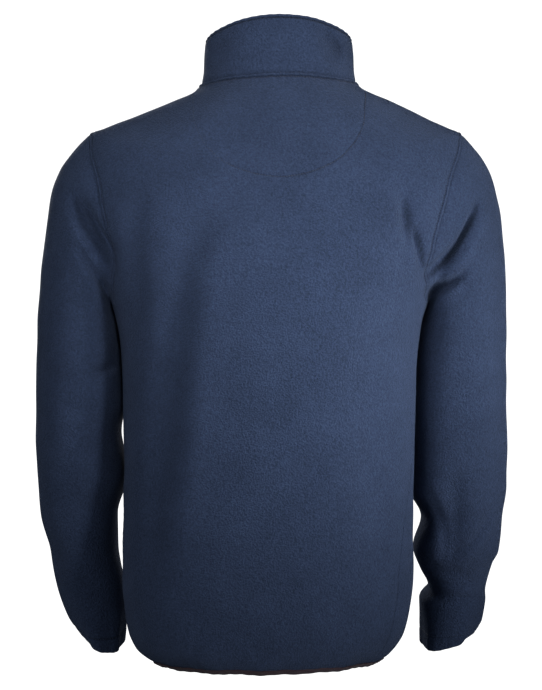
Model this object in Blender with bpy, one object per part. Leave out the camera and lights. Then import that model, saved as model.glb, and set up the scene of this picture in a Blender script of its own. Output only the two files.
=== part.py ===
"""Fleece zip jacket, filled out as if worn, with hanging sleeves.

Sizes are in millimetres and become metres when a mesh is made. The origin is the centre of
the neck seam ring at the height of the side neck points. The front faces -Y, +Z is up, and
the wearer's left is +X.
"""
import math

import bmesh
import bpy
import numpy as np

MM = 0.001

# Cloth and seams
FLEECE = 2.2             # wall of one layer of fleece
COLLAR_WALL = 4.0        # two layers of fleece
COLLAR_PROUD = 0.9       # how far the collar stands out over the neck edge
SEAM_GAP = 0.25          # each side of a seam is drawn back by this
BINDING = 1.2            # elastic binding's own thickness
BINDING_HEIGHT = 5.0
BINDING_GAP = 0.35

# Zip
FRONT_EDGE = 5.5         # from the centre line to the edge of a front
TAPE_EDGE = 3.4          # from the centre line to the inner edge of a tape
TAPE_WIDTH = 13.0
TAPE_WALL = 0.8
TAPE_GAP = 0.5           # between a front's inside and the tape
TAPE_END = 1.0           # between the tape's lower end and the binding's top
CHAIN_HALF = 3.0
CHAIN_WALL = 2.4
ZIP_TOP_MARGIN = 2.0     # below the collar's rim
BOX_HEIGHT = 12.0
SLIDER_BELOW_RIM = 9.0   # from the rim to the slider's centre
SLIDER_HALF_WIDTH = 4.0
SLIDER_HALF_LENGTH = 5.0
SLIDER_PLATE = 1.2
SLIDER_GAP = 0.35
POST_HALF_WIDTH = 1.2
POST_LENGTH = 2.5
ARCH_HALF_WIDTH = 1.1
ARCH_HALF_LENGTH = 4.0
ARCH_WALL = 1.0
ARCH_TUNNEL = 2.8        # clear height under the arch
PULL_WALL = 1.4
PULL_HALF_WIDTH = 3.0
PULL_BAR = 1.3           # height of the cross-bar that turns under the arch
PULL_EYE_HALF_WIDTH = 1.5
PULL_EYE_LENGTH = 4.6
PULL_LENGTH = 27.0
PULL_CORNER = 1.2
PULL_EYE_CORNER = 0.3

# Rings of the body from the neck seam to the hem. "down" is the distance along the centre
# back, each ring's height is given at its side, back and front, and its half width and
# depths are taken from centre_x. "power" shapes its outline, "rise" its height round it,
# "tilt" lowers its left side and lifts its right, and the side seams are in degrees.
RING_COLUMNS = ("down", "z_side", "half_width", "z_back", "depth_back", "z_front", "depth_front",
                "centre_x", "power", "rise", "tilt", "seam_left", "seam_right")
TORSO = {
    "neck":        (0, 0, 90, 7, 70, -62, 80, 0.3, 2.0, 2.0, 1, 0, 0),
    "neck_base":   (10, -9.5, 101, -3, 76, -71, 83.5, 0.6, 2.02, 2.0, 2, 0, 0),
    "collar_bone": (25, -18.2, 121, -18, 84, -84, 88.5, 1.2, 2.04, 2.0, 2.4, 0, 0),
    "yoke":        (46, -30, 149, -38.5, 93, -103, 94.5, 2, 2.07, 2.0, 1.6, 0, 0),
    "upper":       (70, -42, 177, -61, 100.3, -123, 100.7, 3, 2.1, 2.0, 1.1, 0, 0),
    "outer_yoke":  (95, -53, 202, -83, 106, -141, 105.3, 3.6, 2.15, 2.0, 0.5, 0, 0),
    "shoulder":    (119, -60.5, 219, -104, 110.5, -158, 109, 4, 2.2, 2.0, 0, 0, 0),
    "deltoid":     (147, -90, 229, -133, 115.5, -183, 113.9, 5.5, 2.25, 2.0, 0, 0, 0),
    "blade":       (177, -131, 228, -165, 120.3, -213, 118.3, 7, 2.3, 2.0, 0, 0, 0),
    "scye":        (214, -186, 214, -204, 124.8, -247, 121.3, 9, 2.35, 2.0, 0, 0, 0),
    "scye_low":    (245, -231, 198, -237, 127, -273, 121.5, 10, 2.38, 2.0, 0, 0, 0),
    "armpit":      (269, -262, 185, -262.5, 127.5, -290, 121, 10.5, 2.4, 2.0, 0, 0, 0),
    "underarm":    (295, -289, 178.2, -289, 127, -306, 120.5, 11, 2.4, 2.0, 0, 0, 1),
    "chest":       (325, -318, 174.5, -318, 125, -326, 119.7, 11.5, 2.4, 2.0, 0, 0, 3),
    "ribs":        (370, -363, 172.6, -363, 121, -365, 117.4, 11.5, 2.4, 2.0, 0, 0, 5),
    "waist":       (430, -423, 171.3, -423, 116.5, -423, 114, 11.5, 2.37, 2.0, 0, 1, 10),
    "high_hip":    (510, -503, 170.8, -503, 113, -503, 112, 12.6, 2.35, 2.0, 0, 1, 22),
    "hip":         (590, -583, 171.7, -583, 113, -583, 112, 13.3, 2.35, 2.0, 0, 2, 30),
    "blouse":      (625, -618, 167.7, -618, 111, -618, 110, 13.8, 2.3, 2.0, 0, 2, 30),
    "pull_in":     (652, -645, 162.3, -645, 106, -645, 105, 14.8, 2.25, 2.0, 0.5, 2, 30),
    "curl":        (671, -663, 153.5, -665, 99, -664, 98, 15.2, 2.2, 2.0, 1, 2, 30),
    "edge":        (683, -674.5, 141, -678, 91, -676, 90, 13, 2.12, 2.0, 1.6, 2, 30),
    "hem":         (692, -682, 126.5, -686, 83, -684, 82, 11.5, 2.05, 2.0, 2, 2, 30),
}
COLLAR = {
    "seam":  (0, 0, 90, 7, 70, -62, 80, 0.3, 2.0, 2.0, 1, 0, 0),
    "stand": (16, 15, 87.8, 23, 71.5, -46, 80, 0.3, 2.0, 1.9, 1.2, 0, 0),
    "mid":   (40, 32, 87.2, 47, 73.5, -22, 80, 0.3, 2.0, 1.6, 1, 0, 0),
    "rim":   (67, 50, 85.6, 74, 74, 10, 80, 0.3, 2.0, 1.4, 0.8, 0, 0),
}
ARMHOLE_BACK = 31.0      # degrees round the body from the shoulder line, at the widest
ARMHOLE_FRONT = 38.0
ARMHOLE_POWER = 1.15

# Rings of each sleeve from the armhole to the cuff's mouth. Each ring is a loop with an outer
# and an inner point, as distances from the origin's plane, half its depth, and how far its
# back hangs below its middle.
SLEEVE_COLUMNS = ("along", "x_out", "z_out", "x_in", "z_in", "half_depth", "centre_y", "power", "drop")
SLEEVE_LEFT = {
    "scye":        (0, 223, -60.5, 195.5, -262, 77, -1, 2.0, 0),
    "head_1":      (14, 236.5, -73, 196.5, -259.5, 77, -6, 2.0, 0),
    "head_2":      (30, 248, -86, 197.6, -259, 77, -12, 2.0, 0),
    "head_3":      (50, 259.3, -101, 198, -262, 77, -17, 2.05, 0),
    "head_4":      (75, 268.7, -124, 196, -270, 76, -21, 2.1, 0),
    "head_5":      (110, 274.5, -159, 191.6, -284, 75, -24, 2.15, 0),
    "biceps":      (160, 280.6, -206, 187.4, -305, 74, -26, 2.2, 0),
    "upper":       (215, 285, -253, 184.4, -335, 72, -28, 2.2, 0),
    "above_elbow": (290, 288.8, -332, 182.2, -374, 69, -32, 2.2, 0),
    "elbow":       (370, 289.8, -411, 187.7, -412, 66, -39, 2.2, 0),
    "below_elbow": (430, 288.3, -468.4, 181, -462.4, 63, -50, 2.2, 1),
    "forearm":     (476, 285.8, -511, 193.3, -509, 59, -62, 2.2, 3),
    "lower":       (516, 276.3, -549.6, 193.7, -551.6, 55, -73, 2.15, 6),
    "wrist":       (560, 268.8, -595.5, 186, -598.6, 50, -86, 2.1, 10),
    "cuff":        (593, 257.3, -628.2, 183.7, -631.2, 45, -95, 2.1, 15),
    "mouth":       (622, 238.5, -651.7, 188.4, -667, 40, -103, 2.1, 20),
}
SLEEVE_RIGHT = {
    "scye":        (0, 215, -60.5, 174.5, -262, 77, -1, 2.0, 0),
    "head_1":      (14, 228, -73, 175.5, -259.5, 77, -6, 2.0, 0),
    "head_2":      (30, 239.5, -87, 176.6, -259, 77, -12, 2.0, 0),
    "head_3":      (50, 249.9, -105, 177, -262, 77, -17, 2.05, 0),
    "head_4":      (75, 257.2, -127, 173.5, -270, 76, -21, 2.1, 0),
    "head_5":      (110, 263.7, -159, 169, -284, 75, -24, 2.15, 0),
    "biceps":      (160, 267.7, -206, 164.9, -305, 74, -26, 2.2, 0),
    "upper":       (215, 270.3, -253, 161.6, -335, 72, -28, 2.2, 0),
    "above_elbow": (290, 270.5, -335, 159.4, -375, 69, -32, 2.2, 0),
    "elbow":       (370, 272, -411, 157.4, -425, 66, -39, 2.2, 0),
    "below_elbow": (430, 272.7, -472.4, 155.4, -478.4, 63, -50, 2.2, 1),
    "forearm":     (473, 268.3, -514, 171.3, -515, 59, -63, 2.2, 3),
    "lower":       (514, 265, -555.7, 161.7, -552.7, 55, -75, 2.15, 5),
    "wrist_top":   (530, 258.3, -570, 170.4, -576, 51, -80, 2.1, 6),
    "wrist":       (562, 249.9, -603.3, 180.8, -599.7, 46, -89, 2.1, 9),
    "cuff_top":    (578, 251, -616, 170.2, -614, 47, -93, 2.1, 10),
    "cuff":        (602, 248.2, -634.4, 172, -641.4, 45, -98, 2.1, 12),
    "mouth":       (624, 237.2, -650.2, 172.8, -671, 42, -103, 2.1, 14),
}
SCYE_BLEND = 90.0        # length over which a sleeve takes over from the armhole's own curve
SEAM_NORMAL_BLEND = 22.0

# Folds lie on the side named and follow the points, given as (x, z). A negative depth is a
# ridge.
FOLDS = (   # side, width, depth, points
    ("back", 20, 7.5, ((66, -112), (88, -160), (108, -207), (118, -268), (127, -336), (136, -416),
                       (146, -489), (155, -564), (168, -650))),
    ("back", 20, -3.0, ((36, -130), (66, -215), (82, -310), (96, -420), (116, -580))),
    ("back", 14, 4.5, ((152, -120), (168, -188), (164, -290))),
    ("back", 13, 4.5, ((-150, -104), (-143, -150), (-142, -188), (-152, -240))),
    ("back", 11, 4.5, ((-154, -150), (-164, -200), (-172, -248))),
    ("back", 11, 7.5, ((-248, -128), (-228, -163), (-214, -189), (-200, -207), (-186, -219),
                       (-162, -246))),
    ("back", 10, 5.0, ((-224, -224), (-191, -238), (-160, -260))),
    ("back", 10, 5.5, ((240, -126), (223, -156), (215, -173), (204, -189), (188, -222))),
    ("back", 11, 7.0, ((256, -118), (235, -161), (223, -184), (212, -203), (200, -219),
                       (180, -250))),
    ("back", 9, 4.0, ((224, -340), (204, -335), (180, -328))),
    ("back", 13, 5.0, ((-208, -450), (-207, -520), (-204, -590))),
    ("back", 9, 4.5, ((-170, -568), (-205, -584), (-244, -590))),
    ("back", 9, 4.0, ((-168, -600), (-208, -610), (-246, -614))),
    ("back", 24, 3.5, ((-92, -250), (-104, -400), (-112, -500), (-122, -640))),
    ("front", 18, 6.5, ((82, -128), (108, -210), (119, -310), (127, -420), (142, -570))),
    ("front", 16, 5.5, ((-72, -146), (-95, -225), (-103, -330), (-105, -430), (-112, -540))),
    ("front", 12, 5.0, ((146, -120), (158, -186), (164, -262))),
    ("front", 13, 5.0, ((-126, -132), (-139, -200), (-143, -270))),
    ("front", 18, 3.0, ((72, -390), (80, -470), (86, -560), (88, -650))),
    ("front", 18, 3.0, ((-46, -430), (-60, -520), (-64, -640))),
    ("front", 11, 7.0, ((250, -124), (226, -176), (210, -204), (184, -246))),
    ("front", 10, 5.0, ((236, -196), (216, -222), (186, -262))),
    ("front", 12, 7.0, ((-236, -130), (-210, -180), (-192, -208), (-164, -246))),
    ("front", 12, 4.5, ((286, -366), (250, -394), (196, -404))),
    ("front", 11, 3.0, ((266, -446), (232, -430), (190, -436))),
    ("front", 12, 4.5, ((-268, -352), (-232, -382), (-172, -404))),
    ("front", 11, 3.0, ((-244, -442), (-208, -426), (-164, -430))),
    ("front", 9, 4.5, ((262, -560), (230, -574), (194, -566))),
)
FOLD_STEPS = 3           # steps between two points of a fold
HEM_WAVES = 15           # gathers round the hem
HEM_WAVE_DEPTH = 1.6
HEM_WAVE_START = 640.0   # "down" where the gathers begin
CUFF_WAVES = 7
CUFF_WAVE_DEPTH = 1.6
CUFF_WAVE_START = 50.0   # before the mouth

# Mesh spacing
SHOULDER_ROWS = 5
ARMHOLE_ROWS = 12
SIDE_DOWNS = (295, 328, 368, 412, 460, 508, 552, 590, 618, 640, 657, 670, 680)
BACK_COLUMNS = 26
FRONT_COLUMNS = 12
COLLAR_ROWS = 4
SLEEVE_ALONGS_LEFT = (0, 7, 16, 30, 50, 78, 110, 145, 180, 215, 255, 292, 332, 370, 402, 430, 454, 478,
                      500, 522, 546, 570, 590, 606, 622)
SLEEVE_ALONGS_RIGHT = (0, 7, 16, 30, 50, 78, 110, 145, 180, 215, 255, 292, 332, 370, 402, 430, 452, 473,
                       494, 514, 530, 546, 562, 578, 594, 610, 624)
PULL_RAYS = 32           # points round the pull's outline and its eye

SHOULDER_DOWN = TORSO["shoulder"][0]
ARMPIT_DOWN = TORSO["armpit"][0]
HEM_DOWN = TORSO["hem"][0]
COLLAR_UP = COLLAR["rim"][0]
RIM_FRONT_Z = COLLAR["rim"][5]
COLLAR_FRONT_Y = -COLLAR["rim"][6]
COLLAR_CENTRE_X = COLLAR["rim"][7]

NAVY = (0.030, 0.045, 0.098)
NAVY_TAPE = (0.020, 0.028, 0.060)
BURGUNDY = (0.040, 0.014, 0.018)
METAL = (0.30, 0.30, 0.32)


def smooth(knots, values, where):
    """Return a monotone cubic through the knots, held flat outside them."""
    knots = np.asarray(knots, float)
    values = np.asarray(values, float)
    step = np.diff(knots)
    slope = np.diff(values) / step
    tangent = np.empty_like(values)
    tangent[0] = slope[0]
    tangent[-1] = slope[-1]
    before = slope[:-1]
    after = slope[1:]
    total = before + after
    same = before * after > 0
    safe = np.where(same, total, 1.0)
    tangent[1:-1] = np.where(same, 2 * before * after / safe, 0.0)
    where = np.clip(where, knots[0], knots[-1])
    span = np.clip(np.searchsorted(knots, where, side="right") - 1, 0, len(step) - 1)
    width = step[span]
    part = (where - knots[span]) / width
    square = part * part
    cube = square * part
    return ((2 * cube - 3 * square + 1) * values[span] + (cube - 2 * square + part) * width * tangent[span]
            + (3 * square - 2 * cube) * values[span + 1] + (cube - square) * width * tangent[span + 1])


def read(table, columns, where):
    """Return a dict of every column of a ring table at the places asked for."""
    rows = np.array(list(table.values()), float)
    return {name: smooth(rows[:, 0], rows[:, index], where) for index, name in enumerate(columns)}


def signed_power(value, power):
    return np.sign(value) * np.abs(value) ** power


def ring_point(table, angle, down):
    """Return points of the body or collar. The angle runs from the left side over the back."""
    ring = read(table, RING_COLUMNS, down)
    across = signed_power(np.cos(angle), 2 / ring["power"])
    deep = signed_power(np.sin(angle), 2 / ring["power"])
    behind = np.sin(angle) >= 0
    depth = np.where(behind, ring["depth_back"], ring["depth_front"])
    drop = np.where(behind, ring["z_back"], ring["z_front"]) - ring["z_side"]
    height = ring["z_side"] + drop * np.abs(np.sin(angle)) ** ring["rise"] - ring["tilt"] * across
    return np.stack((ring["centre_x"] + ring["half_width"] * across, depth * deep, height), axis=-1)


def unit(vectors):
    return vectors / np.maximum(np.linalg.norm(vectors, axis=-1, keepdims=True), 1e-9)


def surface_normal(surface, first, second, first_step, second_step):
    """Return unit normals from central differences of a surface."""
    along = surface(first + first_step, second) - surface(first - first_step, second)
    across = surface(first, second + second_step) - surface(first, second - second_step)
    return unit(np.cross(along, across))


def curve_through(route):
    """Return a smooth line through a few points."""
    steps = np.concatenate(((0.0,), np.cumsum(np.linalg.norm(np.diff(route, axis=0), axis=1))))
    where = np.linspace(0, steps[-1], FOLD_STEPS * (len(route) - 1) + 1)
    return np.stack([smooth(steps, route[:, axis], where) for axis in (0, 1)], axis=-1)


def fold_depth(points, normal):
    """Return how far each point is pressed in by the folds."""
    total = np.zeros(points.shape[:-1])
    seen = points[..., (0, 2)]
    for side, width, depth, route in FOLDS:
        facing = normal[..., 1] if side == "back" else -normal[..., 1]
        weight = np.sqrt(np.clip(facing, 0, 1))
        route = curve_through(np.array(route, float))
        lengths = np.linalg.norm(np.diff(route, axis=0), axis=1)
        starts = np.concatenate(((0.0,), np.cumsum(lengths)))
        nearest = np.full(total.shape, 1e9)
        place = np.zeros(total.shape)
        for index, length in enumerate(lengths):
            direction = (route[index + 1] - route[index]) / length
            part = np.clip((seen - route[index]) @ direction, 0, length)
            away = np.linalg.norm(seen - route[index] - part[..., None] * direction, axis=-1)
            closer = away < nearest
            nearest = np.where(closer, away, nearest)
            place = np.where(closer, (starts[index] + part) / starts[-1], place)
        middle = 4 * place * (1 - place)
        taper = middle * middle * (3 - 2 * middle)
        total += depth * weight * taper * np.exp(-(nearest / width) ** 2)
    return total


def torso_surface(angle, down):
    """Return points of the body's outside, with its folds and hem gathers."""
    def base(first, second):
        return ring_point(TORSO, first, second)

    points = base(angle, down)
    normal = -surface_normal(base, angle, down, 0.01, 1.5)
    gather = np.clip((down - HEM_WAVE_START) / (HEM_DOWN - HEM_WAVE_START), 0, 1)
    wave = HEM_WAVE_DEPTH * gather * np.cos(HEM_WAVES * angle + 0.9 * np.sin(3 * angle + 1))
    away_from_zip = np.clip((np.abs(points[..., 0] - 12) - 18) / 30, 0, 1)
    away_from_zip = np.where(points[..., 1] > 0, 1.0, away_from_zip)
    return points - normal * ((fold_depth(points, normal) + wave) * away_from_zip)[..., None]


def collar_surface(angle, up):
    return ring_point(COLLAR, angle, up)


def torso_normal(angle, down):
    return -surface_normal(torso_surface, angle, down, 0.008, 1.2)


def collar_normal(angle, up):
    return surface_normal(collar_surface, angle, up, 0.008, 1.2)


def from_side(side, angle):
    """Turn an angle measured back from one side seam line into the body's own angle."""
    return angle if side > 0 else math.pi - angle


def armhole_turn(turn):
    """Return (angle back from the side line, down) round an armhole, from the shoulder point."""
    middle = (SHOULDER_DOWN + ARMPIT_DOWN) / 2
    half = (ARMPIT_DOWN - SHOULDER_DOWN) / 2
    swing = np.where(np.sin(turn) >= 0, ARMHOLE_BACK, ARMHOLE_FRONT)
    angle = np.radians(swing) * signed_power(np.sin(turn), ARMHOLE_POWER)
    return angle, middle - half * np.cos(turn)


def rows_of_body():
    """Return the "down" of every row of the panels and each row's turn round the armhole."""
    turns = np.linspace(0, math.pi, ARMHOLE_ROWS + 1)
    shoulder = np.linspace(0, SHOULDER_DOWN, SHOULDER_ROWS + 1)[:-1]
    armhole = armhole_turn(turns)[1]
    side = SIDE_DOWNS + (HEM_DOWN - BINDING_HEIGHT, HEM_DOWN)
    downs = np.concatenate((shoulder, armhole, side))
    all_turns = np.concatenate((np.zeros(len(shoulder)), turns, np.zeros(len(side))))
    return downs, all_turns


def edge_angles(side, facing):
    """Return a panel's edge at one side, row by row: shoulder, armhole and side seam."""
    downs, turns = rows_of_body()
    seam = read(TORSO, RING_COLUMNS, downs)["seam_left" if side > 0 else "seam_right"]
    hole = armhole_turn(turns * facing)[0]
    return np.where(downs > ARMPIT_DOWN, np.radians(seam), hole)


def centre_front_angle(table, downs, away):
    """Return the angle, back from a side line, of a line at a distance from the centre front."""
    ring = read(table, RING_COLUMNS, downs)
    return -np.arccos((away / ring["half_width"]) ** (ring["power"] / 2))


def draw_back(outer, inner, gap, sides):
    """Draw the named edges of a wall back along the cloth by a seam gap."""
    for grid in (outer, inner):
        for side in sides:
            edge, neighbour = {
                "first_row": (grid[0], grid[1]), "last_row": (grid[-1], grid[-2]),
                "first_column": (grid[:, 0], grid[:, 1]), "last_column": (grid[:, -1], grid[:, -2]),
            }[side]
            edge += unit(neighbour - edge) * gap


def make_material(name, colour, roughness, metallic=0.0):
    material = bpy.data.materials.new(name)
    material.use_nodes = True
    shader = material.node_tree.nodes["Principled BSDF"]
    shader.inputs["Base Color"].default_value = (*colour, 1)
    shader.inputs["Roughness"].default_value = roughness
    shader.inputs["Metallic"].default_value = metallic
    return material


def add_object(name, points, faces, material, parent, origin=(0, 0, 0)):
    """Make one closed solid from points in millimetres, shaded smooth between its sharp edges."""
    mesh = bpy.data.meshes.new(name)
    mesh.from_pydata([tuple((np.array(point) - origin) * MM) for point in points], [], faces)
    work = bmesh.new()
    work.from_mesh(mesh)
    bmesh.ops.recalc_face_normals(work, faces=work.faces)
    work.to_mesh(mesh)
    work.free()
    mesh.materials.append(material)
    mesh.shade_smooth()
    mesh.set_sharp_from_angle(angle=math.radians(40))
    thing = bpy.data.objects.new(name, mesh)
    thing.location = tuple(np.array(origin) * MM)
    thing.parent = parent
    bpy.context.scene.collection.objects.link(thing)
    return thing


def add_wall(name, outer, inner, material, parent, closed=False):
    """Make a cloth wall from an outer and an inner grid of points, closed round its rims."""
    rows, columns = outer.shape[:2]
    half = rows * columns
    spans = columns if closed else columns - 1

    def at(layer, row, column):
        return layer * half + row * columns + column % columns

    faces = []
    for row in range(rows - 1):
        for column in range(spans):
            for layer in (0, 1):
                quad = [at(layer, row, column), at(layer, row, column + 1),
                        at(layer, row + 1, column + 1), at(layer, row + 1, column)]
                faces.append(quad if layer == 0 else quad[::-1])
    for row in (0, rows - 1):
        for column in range(spans):
            faces.append([at(0, row, column), at(0, row, column + 1),
                          at(1, row, column + 1), at(1, row, column)])
    if not closed:
        for column in (0, columns - 1):
            for row in range(rows - 1):
                faces.append([at(0, row, column), at(0, row + 1, column),
                              at(1, row + 1, column), at(1, row, column)])
    points = np.concatenate((outer.reshape(-1, 3), inner.reshape(-1, 3)))
    return add_object(name, points, faces, material, parent)


def box_points(low, high):
    """Return the points and faces of a box between two corners."""
    points = [(x, y, z) for x in (low[0], high[0]) for y in (low[1], high[1]) for z in (low[2], high[2])]
    faces = [(0, 1, 3, 2), (4, 6, 7, 5), (0, 4, 5, 1), (2, 3, 7, 6), (0, 2, 6, 4), (1, 5, 7, 3)]
    return points, faces


def make_back(material, parent):
    downs, _ = rows_of_body()
    left = edge_angles(1, 1)
    right = math.pi - edge_angles(-1, 1)
    part = np.linspace(0, 1, BACK_COLUMNS + 1)
    angle = left[:, None] + (right - left)[:, None] * part
    down = np.repeat(downs[:, None], BACK_COLUMNS + 1, axis=1)
    outer = torso_surface(angle, down)
    inner = outer - torso_normal(angle, down) * FLEECE
    draw_back(outer, inner, SEAM_GAP, ("first_row", "first_column", "last_column"))
    add_wall("back_panel", outer, inner, material, parent)


def make_front(side, material, parent):
    downs, _ = rows_of_body()
    centre = centre_front_angle(TORSO, downs, FRONT_EDGE)
    edge = edge_angles(side, -1)
    part = np.linspace(0, 1, FRONT_COLUMNS + 1)
    angle = from_side(side, centre[:, None] + (edge - centre)[:, None] * part)
    down = np.repeat(downs[:, None], FRONT_COLUMNS + 1, axis=1)
    outer = torso_surface(angle, down)
    inner = outer - torso_normal(angle, down) * FLEECE
    draw_back(outer, inner, SEAM_GAP, ("first_row", "last_column"))
    add_wall("front_left" if side > 0 else "front_right", outer, inner, material, parent)


def ring_of_edges(downs_at):
    """Return the angles round the neck or hem, from the left front edge over the back."""
    downs, _ = rows_of_body()
    row = int(np.argmin(np.abs(downs - downs_at)))
    centre = centre_front_angle(TORSO, downs, FRONT_EDGE)[row]
    back = np.linspace(edge_angles(1, 1)[row], math.pi - edge_angles(-1, 1)[row], BACK_COLUMNS + 1)
    left = np.linspace(centre, edge_angles(1, -1)[row], FRONT_COLUMNS + 1)[:-1]
    right = from_side(-1, np.linspace(edge_angles(-1, -1)[row], centre, FRONT_COLUMNS + 1))[1:]
    return np.concatenate((left, back, right))


def make_collar(material, parent):
    ring = ring_of_edges(0)
    ups = np.linspace(0, COLLAR_UP, COLLAR_ROWS + 1)
    angle = np.repeat(ring[None, :], COLLAR_ROWS + 1, axis=0)
    up = np.repeat(ups[:, None], len(ring), axis=1)
    surface = collar_surface(angle, up)
    normal = collar_normal(angle, up)
    normal = unit(normal * (1, 1, 0))
    outer = surface + normal * COLLAR_PROUD
    inner = outer - normal * COLLAR_WALL
    for grid in (outer, inner):
        grid[0, :, 2] += 2 * SEAM_GAP
    add_wall("collar", outer, inner, material, parent)


def sleeve_table(side):
    return SLEEVE_LEFT if side > 0 else SLEEVE_RIGHT


def sleeve_base(side, turn, along):
    """Return points of a sleeve before its folds. The turn runs from its outer line over the back."""
    def loop(distance):
        ring = read(sleeve_table(side), SLEEVE_COLUMNS, distance)
        out = signed_power(np.cos(turn), 2 / ring["power"])
        deep = signed_power(np.sin(turn), 2 / ring["power"])
        x = (ring["x_out"] + ring["x_in"]) / 2 + (ring["x_out"] - ring["x_in"]) / 2 * out
        z = (ring["z_out"] + ring["z_in"]) / 2 + (ring["z_out"] - ring["z_in"]) / 2 * out - ring["drop"] * deep
        return np.stack((side * x, ring["centre_y"] + ring["half_depth"] * deep, z), axis=-1)

    angle, down = armhole_turn(turn)
    hole = ring_point(TORSO, from_side(side, angle), down)
    share = np.clip(1 - along / SCYE_BLEND, 0, 1) ** 2
    return loop(along) + (hole - loop(0 * along)) * share[..., None]


def sleeve_surface(side, turn, along):
    """Return points of a sleeve's outside, with its folds and cuff gathers."""
    def base(first, second):
        return sleeve_base(side, first, second)

    points = base(turn, along)
    own = -side * surface_normal(base, turn, along, 0.02, 1.5)
    angle, down = armhole_turn(turn)
    body = -surface_normal(lambda a, b: ring_point(TORSO, a, b), from_side(side, angle), down, 0.01, 1.5)
    share = np.clip(1 - along / SEAM_NORMAL_BLEND, 0, 1)[..., None]
    normal = unit(own * (1 - share) + body * share)
    gather = np.clip((along - sleeve_table(side)["mouth"][0]) / CUFF_WAVE_START + 1, 0, 1)
    wave = CUFF_WAVE_DEPTH * gather * np.cos(CUFF_WAVES * turn + 0.8 * np.sin(2 * turn + side))
    return points - normal * (fold_depth(points, normal) + wave)[..., None]


def make_sleeve(side, material, parent):
    turns = np.linspace(0, 2 * math.pi, 2 * ARMHOLE_ROWS + 1)[:-1]
    alongs = np.array(SLEEVE_ALONGS_LEFT if side > 0 else SLEEVE_ALONGS_RIGHT, float)
    turn = np.repeat(turns[None, :], len(alongs), axis=0)
    along = np.repeat(alongs[:, None], len(turns), axis=1)
    outer = sleeve_surface(side, turn, along)
    own = -side * surface_normal(lambda a, b: sleeve_surface(side, a, b), turn, along, 0.02, 1.2)
    angle, down = armhole_turn(turns)
    own[0] = torso_normal(from_side(side, angle), down)
    inner = outer - own * FLEECE
    draw_back(outer, inner, SEAM_GAP, ("first_row",))
    add_wall("sleeve_left" if side > 0 else "sleeve_right", outer, inner, material, parent, closed=True)


def make_binding(material, parent):
    """Make the folded elastic binding that wraps the hem's edge, open at the zip."""
    ring = ring_of_edges(HEM_DOWN)
    edge_down = np.full(len(ring), HEM_DOWN)
    top_down = edge_down - BINDING_HEIGHT
    edge = torso_surface(ring, edge_down)
    top = torso_surface(ring, top_down)
    edge_normal = torso_normal(ring, edge_down)
    top_normal = torso_normal(ring, top_down)
    onward = unit(edge - top)
    near = BINDING_GAP
    far = BINDING_GAP + BINDING
    profile = (
        top + top_normal * far, edge + edge_normal * far + onward * far,
        edge - edge_normal * (FLEECE + far) + onward * far, top - top_normal * (FLEECE + far),
        top - top_normal * (FLEECE + near), edge - edge_normal * (FLEECE + near) + onward * near,
        edge + edge_normal * near + onward * near, top + top_normal * near,
    )
    corners = len(profile)
    points = np.stack(profile, axis=1).reshape(-1, 3)
    faces = []
    for step in range(len(ring) - 1):
        for corner in range(corners):
            following = (corner + 1) % corners
            faces.append([step * corners + corner, step * corners + following,
                          (step + 1) * corners + following, (step + 1) * corners + corner])
    for start in (0, (len(ring) - 1) * corners):
        for low in range(corners // 2 - 1):
            high = corners - 1 - low
            faces.append([start + low, start + low + 1, start + high - 1, start + high])
    add_object("hem_binding", points, faces, material, parent)


def zip_rows():
    """Return the rows that the zip follows, from the hem's binding to below the collar's rim."""
    downs, _ = rows_of_body()
    body = downs[downs <= HEM_DOWN - BINDING_HEIGHT][::-1]
    ups = np.linspace(0, COLLAR_UP - ZIP_TOP_MARGIN, COLLAR_ROWS + 1)[1:]
    return body, ups


def zip_strip(side, away_low, away_high, deep_low, deep_high, rows=None):
    """Return outer and inner grids of a strip beside the centre front line.

    The distances are from the centre line and from the cloth's outside, and the strip
    passes behind the collar's thicker wall by going deeper there.
    """
    body, ups = zip_rows() if rows is None else rows
    aways = np.array((away_low, away_high))
    extra = COLLAR_WALL - COLLAR_PROUD - FLEECE
    grids = []
    for deep in (deep_low, deep_high):
        lines = []
        for down in body:
            angle = from_side(side, centre_front_angle(TORSO, np.full(2, down), aways))
            downs = np.full(2, down)
            closeness = np.clip(1 - down / 20, 0, 1)
            lines.append(torso_surface(angle, downs) - torso_normal(angle, downs) * (deep + extra * closeness))
        for up in ups:
            angle = from_side(side, centre_front_angle(COLLAR, np.full(2, up), aways))
            upward = np.full(2, up)
            lines.append(collar_surface(angle, upward) + np.array((0, deep + extra, 0)))
        grids.append(np.stack(lines))
    return grids


def make_tape(side, material, parent):
    deep = FLEECE + TAPE_GAP
    outer, inner = zip_strip(side, TAPE_EDGE, TAPE_EDGE + TAPE_WIDTH, deep, deep + TAPE_WALL)
    draw_back(outer, inner, TAPE_END, ("first_row",))
    add_wall("zip_tape_left" if side > 0 else "zip_tape_right", outer, inner, material, parent)


def chain_depths():
    middle = FLEECE + TAPE_GAP + TAPE_WALL / 2
    return middle - CHAIN_WALL / 2, middle + CHAIN_WALL / 2


def across_centre(depths, body, ups, half):
    """Return grids of a strip that lies across the centre front line."""
    left = zip_strip(1, 0.01, half, *depths, rows=(body, ups))
    right = zip_strip(-1, 0.01, half, *depths, rows=(body, ups))
    return [np.concatenate((b[:, ::-1][:, :1], a[:, 1:]), axis=1) for a, b in zip(left, right)]


def slider_centre():
    depth = chain_depths()[0] + COLLAR_WALL - COLLAR_PROUD - FLEECE
    return np.array((COLLAR_CENTRE_X, COLLAR_FRONT_Y + depth, RIM_FRONT_Z - SLIDER_BELOW_RIM))


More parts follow.
